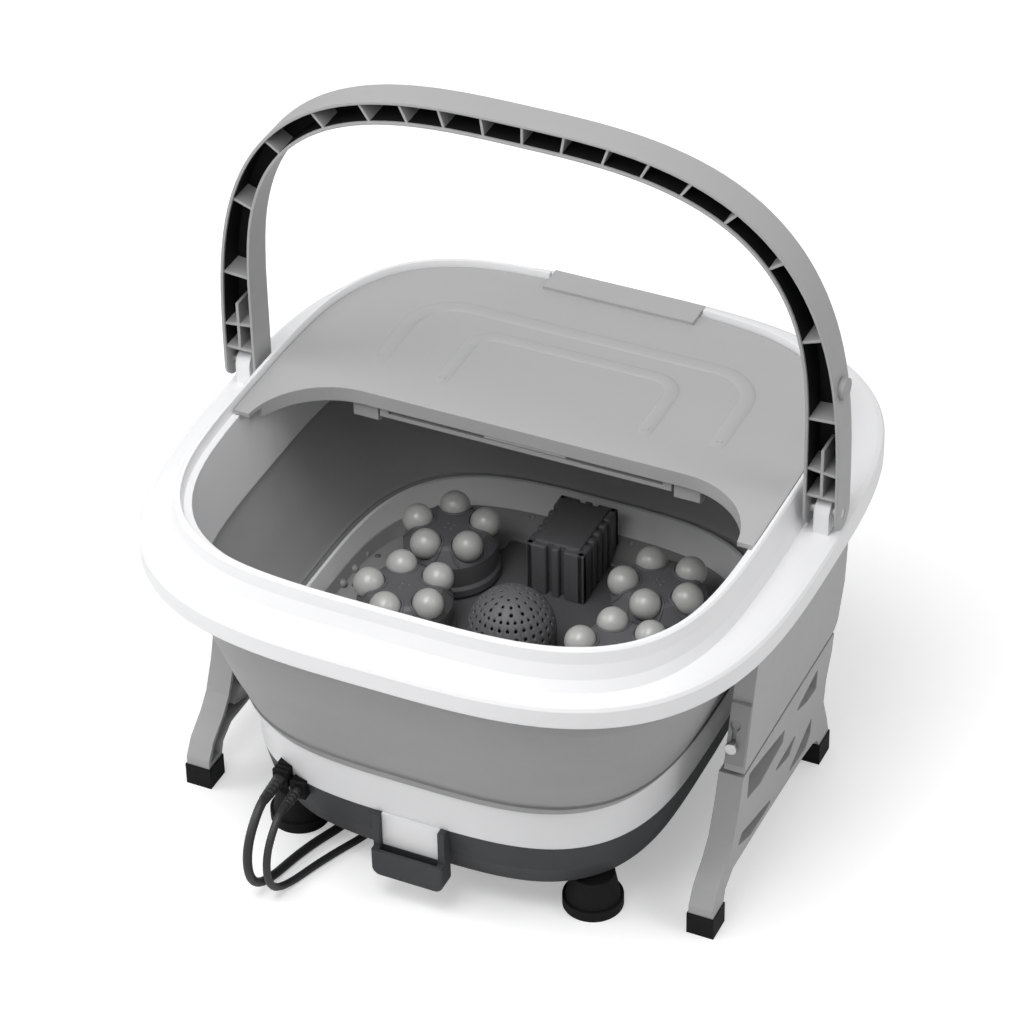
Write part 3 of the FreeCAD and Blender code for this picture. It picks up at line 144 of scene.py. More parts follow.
control_cord = soft_line("control_cord", control_route, CONTROL_RADIUS)
print("control points:", len(mains_route), len(control_route))

# %% [markdown]
# Every new piece ends the same way: doubles are merged, normals are turned outwards, and the mesh goes into
# an object that rides on a body. Turned shapes come up often too, such as the strain reliefs and the dome,
# so a second helper draws a half outline as a chain of vertices, spins it and closes the seam.

# %% Helpers for new pieces
SAME_PLACE = 1e-6


def finished(name, mesh_builder, body, smooth=40):
    """Writes a bmesh into a new object; edges sharper than smooth degrees stay crisp."""
    bmesh.ops.remove_doubles(mesh_builder, verts=mesh_builder.verts, dist=SAME_PLACE)
    bmesh.ops.recalc_face_normals(mesh_builder, faces=mesh_builder.faces)
    mesh = bpy.data.meshes.new(name)
    mesh_builder.to_mesh(mesh)
    mesh_builder.free()
    piece = bpy.data.objects.new(name, mesh)
    bpy.context.scene.collection.objects.link(piece)
    mesh.shade_smooth()
    if smooth:
        mesh.set_sharp_from_angle(angle=math.radians(smooth))
    if body:
        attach(piece, body)
    return piece


UP = (0, 0, 1)


def turn_profile(mesh_builder, profile, place, axis=UP, steps=32):
    """Spins a chain of (radius, height) points round an axis through place, all in millimetres."""
    along = Vector(axis).normalized()
    side = along.orthogonal().normalized()
    centre = Vector(place) * MM
    chain = [mesh_builder.verts.new(centre + side * radius * MM + along * height * MM)
             for radius, height in profile]
    edges = [mesh_builder.edges.new(pair) for pair in zip(chain, chain[1:])]
    bmesh.ops.spin(mesh_builder, geom=chain + edges, cent=centre, axis=along, angle=2 * math.pi,
                   steps=steps, use_merge=True)


# %% [markdown]
# Each cord leaves through a moulded strain relief: a taper with grooves, so that it bends in a soft bow.
# A spun outline with a saw of small ribs is enough, because the real one is round as well.

# %% Strain reliefs
RELIEF_GROOVES = 4
RELIEF_ROOT, RELIEF_TIP = 2.5, 1.0
GROOVE_DEPTH = 0.45
CORD_CLEARANCE = 0.05


def strain_relief(name, exit_place, cord_radius, root_radius, long):
    """A grooved taper round a cord, from its root at the wall to its tip, riding on the base."""
    builder = bmesh.new()
    bore = cord_radius + CORD_CLEARANCE
    profile = [(bore, 0), (root_radius, 0), (root_radius, RELIEF_ROOT)]
    for groove in range(RELIEF_GROOVES):
        share = (groove + 1) / (RELIEF_GROOVES + 1)
        outer = root_radius + (cord_radius + 0.5 - root_radius) * share
        place = RELIEF_ROOT + (long - RELIEF_ROOT - RELIEF_TIP) * share
        profile += [(outer, place - 1.2), (outer - GROOVE_DEPTH, place - 0.8),
                    (outer - GROOVE_DEPTH, place + 0.2), (outer - 0.1, place + 0.6)]
    profile += [(cord_radius + 0.3, long), (bore, long)]
    turn_profile(builder, profile + profile[:1], exit_place, axis=(0, -1, 0))
    return finished(name, builder, "base")


mains_relief = strain_relief("mains_strain_relief", MAINS_EXIT, MAINS_RADIUS, 4.4, 22)
control_relief = strain_relief("control_strain_relief", CONTROL_EXIT, CONTROL_RADIUS, 3.8, 20)
print("relief faces:", len(mains_relief.data.polygons), len(control_relief.data.polygons))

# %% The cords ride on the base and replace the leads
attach(mains_cord, "base")
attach(control_cord, "base")
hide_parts("mains_lead", "mains_lead_coil")
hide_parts("control_lead", "control_lead_coil")

# %% [markdown]
# Moulded plastic is never one flat colour. Under soft light it shows a fine satin grain, faint flow clouds,
# a paler line where edges are rubbed, and a thin dull film in drifts. Four small shader groups make these
# effects once, and every material takes them with its own strengths.

# %% Shader group helper
def group_of(name, inputs, outputs):
    """An empty shader group with named sockets; returns the tree and its two end nodes."""
    tree = bpy.data.node_groups.new(name, "ShaderNodeTree")
    for label, kind, value in inputs:
        socket = tree.interface.new_socket(label, in_out="INPUT", socket_type="NodeSocket" + kind)
        socket.default_value = value
    for label, kind in outputs:
        tree.interface.new_socket(label, in_out="OUTPUT", socket_type="NodeSocket" + kind)
    return tree, tree.nodes.new("NodeGroupInput"), tree.nodes.new("NodeGroupOutput")


def maths(tree, operation, first, second=None, third=None):
    """A Math node; numbers are set on it and sockets are linked to it."""
    node = tree.nodes.new("ShaderNodeMath")
    node.operation = operation
    for socket, value in zip(node.inputs, (first, second, third)):
        if isinstance(value, (int, float)):
            socket.default_value = value
        elif value is not None:
            tree.links.new(value, socket)
    return node.outputs[0]


def noise(tree, size, detail=3.0, rough=0.5, stretch=None):
    """A noise on Object coordinates whose features are about 1 / size metres wide."""
    place = tree.nodes.new("ShaderNodeTexCoord").outputs["Object"]
    if stretch:
        mapping = tree.nodes.new("ShaderNodeMapping")
        mapping.inputs["Scale"].default_value = stretch
        tree.links.new(place, mapping.inputs["Vector"])
        place = mapping.outputs["Vector"]
    node = tree.nodes.new("ShaderNodeTexNoise")
    node.inputs["Detail"].default_value = detail
    node.inputs["Roughness"].default_value = rough
    tree.links.new(place, node.inputs["Vector"])
    if isinstance(size, (int, float)):
        node.inputs["Scale"].default_value = size
    else:
        tree.links.new(size, node.inputs["Scale"])
    return node.outputs["Fac"]


# %% Grain group
# Height of the fine spark-eroded grain, on top of a slow waviness of the moulded wall.
grain, grain_in, grain_out = group_of("satin_grain", [("Grain size", "Float", 2500.0), ("Wave", "Float", 0.4)],
                                      [("Height", "Float")])
fine = noise(grain, grain_in.outputs["Grain size"], 2.0, 0.6)
slow = noise(grain, 30.0, 1.0)
height = maths(grain, "MULTIPLY_ADD", slow, grain_in.outputs["Wave"], fine)
grain.links.new(height, grain_out.inputs["Height"])

# %% Flow cloud group
# A mask from 0 to 1: clouds where the melt flowed, drawn out along the wall.
cloud, cloud_in, cloud_out = group_of("flow_clouds", [("Size", "Float", 18.0)], [("Mask", "Float")])
broad = noise(cloud, cloud_in.outputs["Size"], 4.0, 0.6, (1, 1, 2.2))
speck = noise(cloud, 400.0, 2.0, 0.7)
mixed = maths(cloud, "MULTIPLY_ADD", speck, 0.25, broad)
cloud.links.new(maths(cloud, "SUBTRACT", mixed, 0.125), cloud_out.inputs["Mask"])

# %% Edge wear group
# The rounded normal leaves the true one only near an edge, which gives a mask for rubbed edges. It also goes
# out by itself, so that every crisp edge of the construction model catches the light as a moulded one does.
EDGE_RADIUS, WEAR_CONTRAST = 0.9, 4.0
wear, wear_in, wear_out = group_of("edge_wear", [("Break up", "Float", 260.0)],
                                   [("Mask", "Float"), ("Soft normal", "Vector")])
bevel = wear.nodes.new("ShaderNodeBevel")
bevel.samples = 4
bevel.inputs["Radius"].default_value = EDGE_RADIUS * MM
geometry = wear.nodes.new("ShaderNodeNewGeometry")
likeness = wear.nodes.new("ShaderNodeVectorMath")
likeness.operation = "DOT_PRODUCT"
wear.links.new(bevel.outputs["Normal"], likeness.inputs[0])
wear.links.new(geometry.outputs["Normal"], likeness.inputs[1])
wear.links.new(bevel.outputs["Normal"], wear_out.inputs["Soft normal"])
bend = maths(wear, "SUBTRACT", 1.0, likeness.outputs["Value"])
rubbed = maths(wear, "MULTIPLY", maths(wear, "MINIMUM", maths(wear, "MULTIPLY", bend, WEAR_CONTRAST), 1.0),
               noise(wear, wear_in.outputs["Break up"], 3.0, 0.7))
wear.links.new(rubbed, wear_out.inputs["Mask"])

# %% Dust group
# Dust and dried water lie in slow drifts and only dull the surface.
dust, dust_in, dust_out = group_of("settled_dust", [("Size", "Float", 60.0)], [("Mask", "Float")])
drift = noise(dust, dust_in.outputs["Size"], 5.0, 0.65)
DRIFT_EDGE, DRIFT_CONTRAST = 0.52, 4.0
above_edge = maths(dust, "MAXIMUM", maths(dust, "SUBTRACT", drift, DRIFT_EDGE), 0.0)
sharpened = maths(dust, "MULTIPLY", above_edge, DRIFT_CONTRAST)
dust.links.new(maths(dust, "MINIMUM", sharpened, 1.0), dust_out.inputs["Mask"])
print("shader groups:", [g.name for g in bpy.data.node_groups])

# %% [markdown]
# One recipe covers every moulded finish here: a base colour, a slightly paler and darker neighbour of it
# for the clouds and the rubbed edges, a roughness that the dust raises, and the grain as bump. That is better
# than fifteen hand-made node trees, since the real parts of one product share one process.

# %% Material helpers
def place_group(tree, group, **values):
    """A shared group placed in a material, with some of its inputs set."""
    node = tree.nodes.new("ShaderNodeGroup")
    node.node_tree = group
    for label, value in values.items():
        node.inputs[label.replace("_", " ").capitalize()].default_value = value
    return node.outputs


def shade(colour, share):
    """A colour made darker or paler, with full alpha."""
    return tuple(min(1.0, part * share) for part in colour) + (1.0,)


def blend_colour(tree, share, first, second):
    """A Mix node between two colours, each a tuple or a socket."""
    node = tree.nodes.new("ShaderNodeMix")
    node.data_type = "RGBA"
    tree.links.new(share, node.inputs["Factor"])
    for socket, value in ((node.inputs["A"], first), (node.inputs["B"], second)):
        if isinstance(value, tuple):
            socket.default_value = value
        else:
            tree.links.new(value, socket)
    return node.outputs["Result"]


# %% Material recipe
BUMP_STRENGTH, FILM_ROUGHNESS, COAT_ROUGHNESS = 0.5, 0.10, 0.25


def moulded(name, colour, rough, grain_size=2500.0, bump=0.12, clouds=0.05, worn=1.25, coat=0.0, metal=0.0,
            wave=0.4, shine=0.5):
    """A moulded finish; colour is linear, bump is the depth of the grain in tenths of a millimetre."""
    material = bpy.data.materials.new(name)
    material.use_nodes = True
    tree = material.node_tree
    shader = tree.nodes["Principled BSDF"]
    shader.inputs["Metallic"].default_value = metal
    shader.inputs["Coat Weight"].default_value = coat
    shader.inputs["Coat Roughness"].default_value = COAT_ROUGHNESS
    shader.inputs["Specular IOR Level"].default_value = shine
    clouded = blend_colour(tree, place_group(tree, cloud)["Mask"], shade(colour, 1 - clouds),
                           shade(colour, 1 + clouds))
    edges = place_group(tree, wear)
    edged = blend_colour(tree, edges["Mask"], clouded, shade(colour, worn))
    tree.links.new(edged, shader.inputs["Base Color"])
    film = place_group(tree, dust)["Mask"]
    tree.links.new(maths(tree, "MULTIPLY_ADD", film, FILM_ROUGHNESS, rough), shader.inputs["Roughness"])
    relief = tree.nodes.new("ShaderNodeBump")
    relief.inputs["Strength"].default_value = BUMP_STRENGTH
    relief.inputs["Distance"].default_value = bump * 0.1 * MM
    grained = place_group(tree, grain, Grain_size=grain_size, Wave=wave)["Height"]
    tree.links.new(grained, relief.inputs["Height"])
    tree.links.new(edges["Soft normal"], relief.inputs["Normal"])
    tree.links.new(relief.outputs["Normal"], shader.inputs["Normal"])
    return material


# %% Finishes
# After the name: linear colour, roughness, grain size, depth of the grain, clouds, paleness of rubbed edges.
finish = {
    "rim_plastic": moulded("white_rim", (0.80, 0.80, 0.81), 0.34, 1800, 0.06, 0.012, 1.02),
    "tub_plastic": moulded("white_tub", (0.74, 0.74, 0.75), 0.36, 1800, 0.06, 0.015, 1.03, shine=0.4),
    "grey_plastic": moulded("warm_grey_satin", (0.385, 0.385, 0.385), 0.44, 2600, 0.14, 0.03, 1.22),
    "handle_plastic": moulded("arch_grey_satin", (0.345, 0.345, 0.345), 0.44, 2600, 0.14, 0.03, 1.22),
    "hinge_plastic": moulded("hinge_grey_nylon", (0.30, 0.30, 0.30), 0.48, 2200, 0.14, 0.04, 1.25),
    "bellows_rubber": moulded("bellows_rubber", (0.31, 0.31, 0.31), 0.58, 1500, 0.20, 0.05, 1.12),
    "housing_plastic": moulded("charcoal_housing", (0.044, 0.045, 0.048), 0.50, 2200, 0.2, 0.10, 1.7,
                               shine=0.25),
    "floor_plastic": moulded("charcoal_floor", (0.125, 0.125, 0.13), 0.46, 2200, 0.2, 0.08, 1.5, shine=0.35),
    "ball_plastic": moulded("polished_balls", (0.50, 0.50, 0.49), 0.28, 900, 0.05, 0.03, 1.0, coat=0.3),
    "black_rubber": moulded("black_rubber", (0.008, 0.008, 0.008), 0.66, 1200, 0.3, 0.2, 2.0, shine=0.15),
    "cord_rubber": moulded("cord_jacket", (0.012, 0.012, 0.013), 0.45, 1500, 0.2, 0.2, 1.5),
    "steel": moulded("plain_steel", (0.6, 0.6, 0.6), 0.32, 900, 0.1, 0.06, 1.1, metal=1.0),
    "pump_plastic": moulded("pump_nylon", (0.08, 0.08, 0.08), 0.5, 2200, 0.2, 0.08, 1.4),
    "heater_aluminium": moulded("cast_aluminium", (0.66, 0.66, 0.67), 0.4, 900, 0.3, 0.08, 1.1, metal=1.0),
    "circuit_board": moulded("green_laminate", (0.02, 0.14, 0.05), 0.35, 2000, 0.05, 0.1, 1.2),
}
print("finishes:", len(finish))

# %% Paint the construction nodes
slot_of = {row["node"]: row["material_slot"] for row in frame["record"]["subparts"]}
for name, piece in frame["nodes"].items():
    material = finish[slot_of[name]]
    if not piece.material_slots:
        piece.data.materials.append(material)
    for socket in piece.material_slots:
        socket.material = material
print("painted nodes:", len(slot_of))


def paint(piece, slot_name):
    """Gives a new piece the finish of a material slot."""
    piece.data.materials.clear()
    piece.data.materials.append(finish[slot_name])
    return piece


for piece in (mains_cord, control_cord, mains_relief, control_relief):
    paint(piece, "cord_rubber")

# %% [markdown]
# The bellows is a thick, soft skin between the rim and the base. It hangs almost smooth when it is open and
# rolls up when the base is pushed in. Rings of one rounded-square outline, joined by bridge_loops, give its
# swell, and a solidified wall gives its thickness.

# %% Rounded-square outlines
def outline_reach(turn, wide, deep, power):
    """Distance from the middle of a superellipse to its edge, in the direction turn."""
    return ((abs(math.cos(turn)) / wide) ** power + (abs(math.sin(turn)) / deep) ** power) ** (-1 / power)


def ring_of(mesh_builder, count, middle_y, height, reach):
    """A level ring of vertices whose distance from its middle is given by reach(turn); returns its edges."""
    ring = bmesh.ops.create_circle(mesh_builder, segments=count, radius=1.0)["verts"]
    for vertex in ring:
        turn = math.atan2(vertex.co.y, vertex.co.x)
        distance = reach(turn)
        vertex.co = Vector((distance * math.cos(turn), middle_y + distance * math.sin(turn), height)) * MM
    return list({edge for vertex in ring for edge in vertex.link_edges})


def bridge_all(mesh_builder, loops):
    """Joins each loop of edges to the next one."""
    for first_loop, second_loop in zip(loops, loops[1:]):
        bmesh.ops.bridge_loops(mesh_builder, edges=first_loop + second_loop)


# %% Bellows skin
# An outline is half its width, half its depth, the power of its corners and the y of its middle.
BASE_OUTLINE = (143.0, 151.0, 3.42, -12.0)
MOUTH_OUTLINE = (175.3, 177.3, 3.7, -8.0)
BELLOWS_LOW, BELLOWS_HANG = 98.0, 184.0
SKIN_POINTS, SKIN_WALL, SWELL_POWER = 192, 2.0, 0.8


def skin_ring(mesh_builder, share, offset, height):
    """A ring between the base outline (share 0) and the mouth outline (share 1)."""
    wide, deep, power, middle = (low + (high - low) * share for low, high in zip(BASE_OUTLINE, MOUTH_OUTLINE))
    return ring_of(mesh_builder, SKIN_POINTS, middle, height,
                   lambda turn: outline_reach(turn, wide + offset, deep + offset, power))


builder = bmesh.new()
rings = []
# (height, offset): a rolled seam above the clamp, a faint fold line, then the smooth swell.
skin_rows = [(98.2, 0.0), (100, 0.0), (102, 0.0), (104, 0.1), (105.4, 0.25), (106.2, -0.35), (107, 0.1),
             (109, 0.2), (114, 0.1), (120, 0.0), (126, 0.25), (132, 0.4), (138, 0.25), (145, 0.0),
             (152, 0.1), (158, 0.3), (164, 0.1), (170, 0.0), (176, 0.0), (182, 0.0), (184, 0.0),
             (190, 0.4), (195, 0.7), (199.8, 1.0)]
for height, offset in skin_rows:
    share = min(1.0, (height - BELLOWS_LOW) / (BELLOWS_HANG - BELLOWS_LOW)) ** SWELL_POWER
    rings.append(skin_ring(builder, share, offset, height))
bridge_all(builder, rings)
bellows_skin = finished("bellows_skin", builder, None)
wall = bellows_skin.modifiers.new("wall", "SOLIDIFY")
wall.thickness = SKIN_WALL * MM
wall.offset = -1
bpy.context.view_layer.objects.active = bellows_skin
bellows_skin.select_set(True)
bpy.ops.object.modifier_apply(modifier="wall")
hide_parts("bellows")
paint(bellows_skin, "bellows_rubber")
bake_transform(bellows_skin)
print("bellows faces:", len(bellows_skin.data.polygons))

# %% [markdown]
# Air bubbles rise through a pierced dome in the middle of the floor. Its holes are oval low down and round
# near the top, and their columns thin out towards the pole. Insetting the faces of a spun dome would tie
# every row to the same number of columns, so the dome is a plain spun shell, and one mesh of all the pegs is
# taken away from it. The pegs don't touch each other, which keeps the exact solver quick and the cuts clean.

# %% Dome shell
DOME_Y, FLOOR_Z = -12.5, 85.0
DOME_RADIUS, DOME_SPRING, DOME_WALL = 28.5, 109.3, 1.8
DOME_COLUMNS = 28


def dome_rows(tilts, radius=DOME_RADIUS):
    """Points (radius, height) of the round part of the dome at some tilts above its spring line."""
    return [(radius * math.cos(math.radians(tilt)), DOME_SPRING + radius * math.sin(math.radians(tilt)))
            for tilt in tilts]


builder = bmesh.new()
outside = [(DOME_RADIUS, FLOOR_Z + 0.2), (DOME_RADIUS, DOME_SPRING)] + dome_rows(range(5, 91, 5))
inside = dome_rows(range(90, 4, -5), DOME_RADIUS - DOME_WALL)
inside += [(DOME_RADIUS - DOME_WALL, DOME_SPRING), (DOME_RADIUS - DOME_WALL, FLOOR_Z + 0.2)]
turn_profile(builder, outside + inside + outside[:1], (0, DOME_Y, 0), steps=4 * DOME_COLUMNS)
dome = finished("pierced_dome", builder, "base", smooth=30)
print("plain dome faces:", len(dome.data.polygons))

# %% Dome holes
# (tilt in degrees, holes in the row, half width, half height); a negative tilt is a row on the upright wall.
HOLE_ROWS = [(-15, 28, 1.35, 1.7), (-3, 28, 1.35, 1.6), (9, 28, 1.35, 1.5), (21, 28, 1.3, 1.35),
             (33, 28, 1.2, 1.2), (44, 28, 1.0, 1.0), (54, 14, 1.2, 1.2), (65, 14, 1.0, 1.0), (77, 7, 1.0, 1.0)]
WALL_ROW_STEP = 0.55
PEG_LONG, PEG_SIDES = 8.0, 16

builder = bmesh.new()
for tilt, count, wide, tall in HOLE_ROWS:
    lean = math.radians(max(tilt, 0))
    height = DOME_SPRING + (DOME_RADIUS * math.sin(lean) if tilt > 0 else tilt * WALL_ROW_STEP)
    for number in range(count):
        spin = 2 * math.pi * (number + 0.5) / count
        outward = Vector((math.cos(spin) * math.cos(lean), math.sin(spin) * math.cos(lean), math.sin(lean)))
        reach = DOME_RADIUS * math.cos(lean)
        place = Vector((reach * math.cos(spin), DOME_Y + reach * math.sin(spin), height)) * MM
        turned = outward.to_track_quat("Z", "Y").to_matrix().to_4x4()
        stretch = Matrix.Diagonal((wide * MM, tall * MM, 1, 1))
        bmesh.ops.create_cone(builder, cap_ends=True, segments=PEG_SIDES, radius1=1, radius2=1,
                              depth=PEG_LONG * MM, matrix=Matrix.Translation(place) @ turned @ stretch)
holes = finished("dome_holes", builder, None, smooth=30)
cutter = dome.modifiers.new("holes", "BOOLEAN")
cutter.object = holes
cutter.operation = "DIFFERENCE"
cutter.solver = "EXACT"
bpy.context.view_layer.update()
pierced = bpy.data.meshes.new_from_object(dome.evaluated_get(bpy.context.evaluated_depsgraph_get()))
dome.modifiers.clear()
dome.data = pierced
bpy.data.objects.remove(holes)
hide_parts("air_dome")
paint(dome, "floor_plastic")
print("pierced dome faces:", len(dome.data.polygons))

# %% Dome ribs
# Slim raised meridians run down between the columns of holes, as on the real one.
RIB_HALF, RIB_SUNK, RIB_PROUD = 0.4 * MM, 0.2 * MM, 0.5 * MM
RIB_FOOT, RIB_MIDDLE = FLOOR_Z + 1, FLOOR_Z + 17
rib_rows = [(DOME_RADIUS, RIB_FOOT), (DOME_RADIUS, RIB_MIDDLE)] + dome_rows((0, 12, 24, 36))

builder = bmesh.new()
for number in range(DOME_COLUMNS):
    angle = 2 * math.pi * number / DOME_COLUMNS
    way = Vector((math.cos(angle), math.sin(angle), 0))
    side = Vector((-way.y, way.x, 0)) * RIB_HALF
    rows = []
    for radius, height in rib_rows:
        place = (Vector((0, DOME_Y, height)) + way * radius) * MM
        out = (place - Vector((0, DOME_Y, min(height, DOME_SPRING))) * MM).normalized()
        section = (place + side - out * RIB_SUNK, place + out * RIB_PROUD, place - side - out * RIB_SUNK)
        rows.append([builder.verts.new(point) for point in section])
    bridge_all(builder, [[builder.edges.new(pair) for pair in zip(row, row[1:])] for row in rows])
dome_ribs = finished("dome_ribs", builder, "base", smooth=80)
paint(dome_ribs, "floor_plastic")
print("rib faces:", len(dome_ribs.data.polygons))

# %% [markdown]
# The five balls of a turret sit in round cups whose lips stand proud of the disc. A lip lies on the disc just
# outside a ball's pocket, so its line is found point by point, with rays that drop on the disc, and a thin
# round bead is drawn along it. Four small studs mark the middle of each disc.

# %% Lip lines
TURRET_X, FRONT_Y, REAR_Y = 74.5, -15.0, 54.0
BALL_RING = 23.5
REST_TURNS = {"front_left": 48.0, "front_right": 48.0, "rear_left": 36.0, "rear_right": 54.0}
LIP_REACH, LIP_LOWEST, LIP_RADIUS = 11.5, 108.0, 0.9
LIP_STEP, LIP_HALF_STEPS = 5, 30
RAY_START = 200.0


def lip_line(disc, middle, ball_x, ball_y):
    """Line on the disc just outside a ball's pocket, from one side of the disc's edge to the other."""
    inward = math.atan2(middle[1] - ball_y, middle[0] - ball_x)
    line = []
    for step in range(-LIP_HALF_STEPS, LIP_HALF_STEPS + 1):
        angle = inward + math.radians(step * LIP_STEP)
        above = Vector((ball_x + LIP_REACH * math.cos(angle), ball_y + LIP_REACH * math.sin(angle), RAY_START))
        found, place, _, _ = disc.ray_cast(disc.matrix_world.inverted() @ (above * MM), (0, 0, -1))
        place = disc.matrix_world @ place
        if found and place.z > LIP_LOWEST * MM:
            line.append(place)
    return line


def bead_along(mesh_builder, lines, radius):
    """Adds round beads along open lines, by way of a curve that is thrown away afterwards."""
    curve = bpy.data.curves.new("bead", "CURVE")
    curve.dimensions = "3D"
    curve.bevel_depth = radius * MM
    curve.bevel_resolution = 2
    curve.use_fill_caps = True
    for line in lines:
        spline = curve.splines.new("POLY")
        spline.points.add(len(line) - 1)
        for point, place in zip(spline.points, line):
            point.co = (*place, 1)
    helper = bpy.data.objects.new("bead", curve)
    mesh = bpy.data.meshes.new_from_object(helper)
    mesh_builder.from_mesh(mesh)
    bpy.data.objects.remove(helper)
    bpy.data.curves.remove(curve)
    bpy.data.meshes.remove(mesh)


# %% Cup lips and studs
BALLS, STUDS = 5, 4
STUD_RING = 3.2
STUD_OUTLINE = [(0, 122.6), (0.9, 122.4), (1.3, 121.8)]

for place, turret_x, turret_y in (("front_left", -TURRET_X, FRONT_Y), ("front_right", TURRET_X, FRONT_Y),
                                  ("rear_left", -TURRET_X, REAR_Y), ("rear_right", TURRET_X, REAR_Y)):
    builder = bmesh.new()
    disc = frame["nodes"]["turret_" + place]
    lines = []
    for number in range(BALLS):
        angle = math.radians(REST_TURNS[place] + 360 / BALLS * number)
        lines.append(lip_line(disc, (turret_x, turret_y), turret_x + BALL_RING * math.cos(angle),
                              turret_y + BALL_RING * math.sin(angle)))
    bead_along(builder, lines, LIP_RADIUS)
    print(place, "lip points", [len(line) for line in lines])
    for number in range(STUDS):
        angle = math.radians(45 + 360 / STUDS * number)
        turn_profile(builder, STUD_OUTLINE, (turret_x + STUD_RING * math.cos(angle),
                                             turret_y + STUD_RING * math.sin(angle), 0), steps=12)
    lips = finished("cup_lips_" + place, builder, "turret_" + place, smooth=60)
    paint(lips, "floor_plastic")

# %% [markdown]
# Round the floor runs a paler margin. It climbs the foot of the wall and stops in arcs round the turrets,
# with a row of small massage nubs on it. Rings of vertices at each step of its section, bridged one after
# the other, make it; the inner ring goes round the turrets because it takes the farthest of their edges.

# %% Where the margin runs
WELL_WIDE, WELL_DEEP, WELL_POWER, WELL_Y = 132.0, 118.0, 3.42, -13.0
RIM_WIDE, RIM_DEEP = 138.5, 146.5
SUNK_SIDE, SUNK_FRONT, SUNK_REAR = 52, 58, 112
ARC_RADIUS = 37.3
MARGIN_TOP, COLLAR_Z = 96.6, 109.0
TINY = 1e-6


def wall_reach(turn, height, offset):
    """Distance from the middle of the well to its wall at a height."""
    share = (height - FLOOR_Z) / (COLLAR_Z - FLOOR_Z)
    wide = WELL_WIDE + (RIM_WIDE - WELL_WIDE) * share + offset
    deep = WELL_DEEP + (RIM_DEEP - WELL_DEEP) * share + offset
    return outline_reach(turn, wide, deep, WELL_POWER)


def floor_reach(turn):
    """Distance from the middle of the well to the farthest arc or side of the sunken floor."""
    x, y = math.cos(turn), math.sin(turn)
    exits = [min(SUNK_SIDE / max(abs(x), TINY), (SUNK_FRONT if y < 0 else SUNK_REAR) / max(abs(y), TINY))]
    for turret_x in (-TURRET_X, TURRET_X):
        for turret_y in (FRONT_Y - WELL_Y, REAR_Y - WELL_Y):
            along = turret_x * x + turret_y * y
            rest = ARC_RADIUS ** 2 - (turret_x ** 2 + turret_y ** 2 - along ** 2)
            if rest > 0 and along > 0:
                exits.append(along + math.sqrt(rest))
    return min(max(exits), wall_reach(turn, FLOOR_Z + 2, -3))


# %% Floor margin
# Three rings run down the wall and a fourth starts the shelf; the last three go round the sunken floor.
MARGIN_POINTS = 240
# A ring on the wall is its height, the height whose outline it takes, and an offset; one on the floor is
# its height and an offset.
WALL_RINGS = [(MARGIN_TOP, MARGIN_TOP, 0.2), (MARGIN_TOP - 0.3, MARGIN_TOP, -0.8),
              (FLOOR_Z + 3.0, FLOOR_Z + 3.0, -1.2), (FLOOR_Z + 2.0, FLOOR_Z + 2.0, -2.4)]
FLOOR_RINGS = [(FLOOR_Z + 2.0, 0.5), (FLOOR_Z + 1.6, 0.0), (FLOOR_Z + 0.05, 0.0)]

builder = bmesh.new()
rings = [ring_of(builder, MARGIN_POINTS, WELL_Y, height, lambda turn: wall_reach(turn, wall_height, offset))
         for height, wall_height, offset in WALL_RINGS]
rings += [ring_of(builder, MARGIN_POINTS, WELL_Y, height, lambda turn: floor_reach(turn) + offset)
          for height, offset in FLOOR_RINGS]
bridge_all(builder, rings)
margin = finished("floor_margin", builder, "base", smooth=30)
paint(margin, "hinge_plastic")
print("margin faces:", len(margin.data.polygons))

# %% Massage nubs
NUB_RADIUS = 2.9
SIDE_NUBS = [(131.6, y, 89.3) for y in (74.7, 58.4, 41.9, 24.9, 7.8, -9.0, -26.0)]
REAR_NUBS = [(x, 117.0, 94.0) for x in (28.0, 44.0)]

builder = bmesh.new()
for side in (-1, 1):
    for x, y, z in SIDE_NUBS + REAR_NUBS:
        bmesh.ops.create_uvsphere(builder, u_segments=20, v_segments=12, radius=NUB_RADIUS * MM,
                                  matrix=Matrix.Translation(Vector((side * x, y, z)) * MM))
nubs = finished("margin_nubs", builder, "base", smooth=0)
paint(nubs, "hinge_plastic")
print("nubs:", 2 * len(SIDE_NUBS + REAR_NUBS))

# %% [markdown]
# The heater is hidden under a block with upright fins all round. Each fin is a cube from an operator,
# stretched to size and bevelled: that keeps the corners crisp yet soft to the eye. The core stands a little
# higher than its fins, and the dark slots between them come by themselves.

# %% Heater block
BLOCK_WIDE, BLOCK_DEEP, BLOCK_Y, BLOCK_TOP = 41.0, 57.0, 83.0, 126.0
FIN_WIDE, FIN_DEPTH = 5.2, 4.5
FINS_ACROSS, FINS_ALONG = 5, 7
FIN_REACH, FIN_DROP, FIN_ROUNDING = 5, 1.6, 1.2
REAR_FOOT_Z = FLOOR_Z + 10


def soft_block(mesh_builder, low, high, rounding, segments=3):
    """A cube stretched between two corners, with all its edges bevelled."""
    low, high = Vector(low) * MM, Vector(high) * MM
    fresh = bmesh.ops.create_cube(mesh_builder, size=1.0)["verts"]
    bmesh.ops.scale(mesh_builder, vec=high - low, verts=fresh)
    bmesh.ops.translate(mesh_builder, vec=(low + high) / 2, verts=fresh)
    edges = list({edge for vertex in fresh for edge in vertex.link_edges})
    bmesh.ops.bevel(mesh_builder, geom=edges, offset=rounding * MM, segments=segments, affect="EDGES",
                    profile=0.5, material=-1)


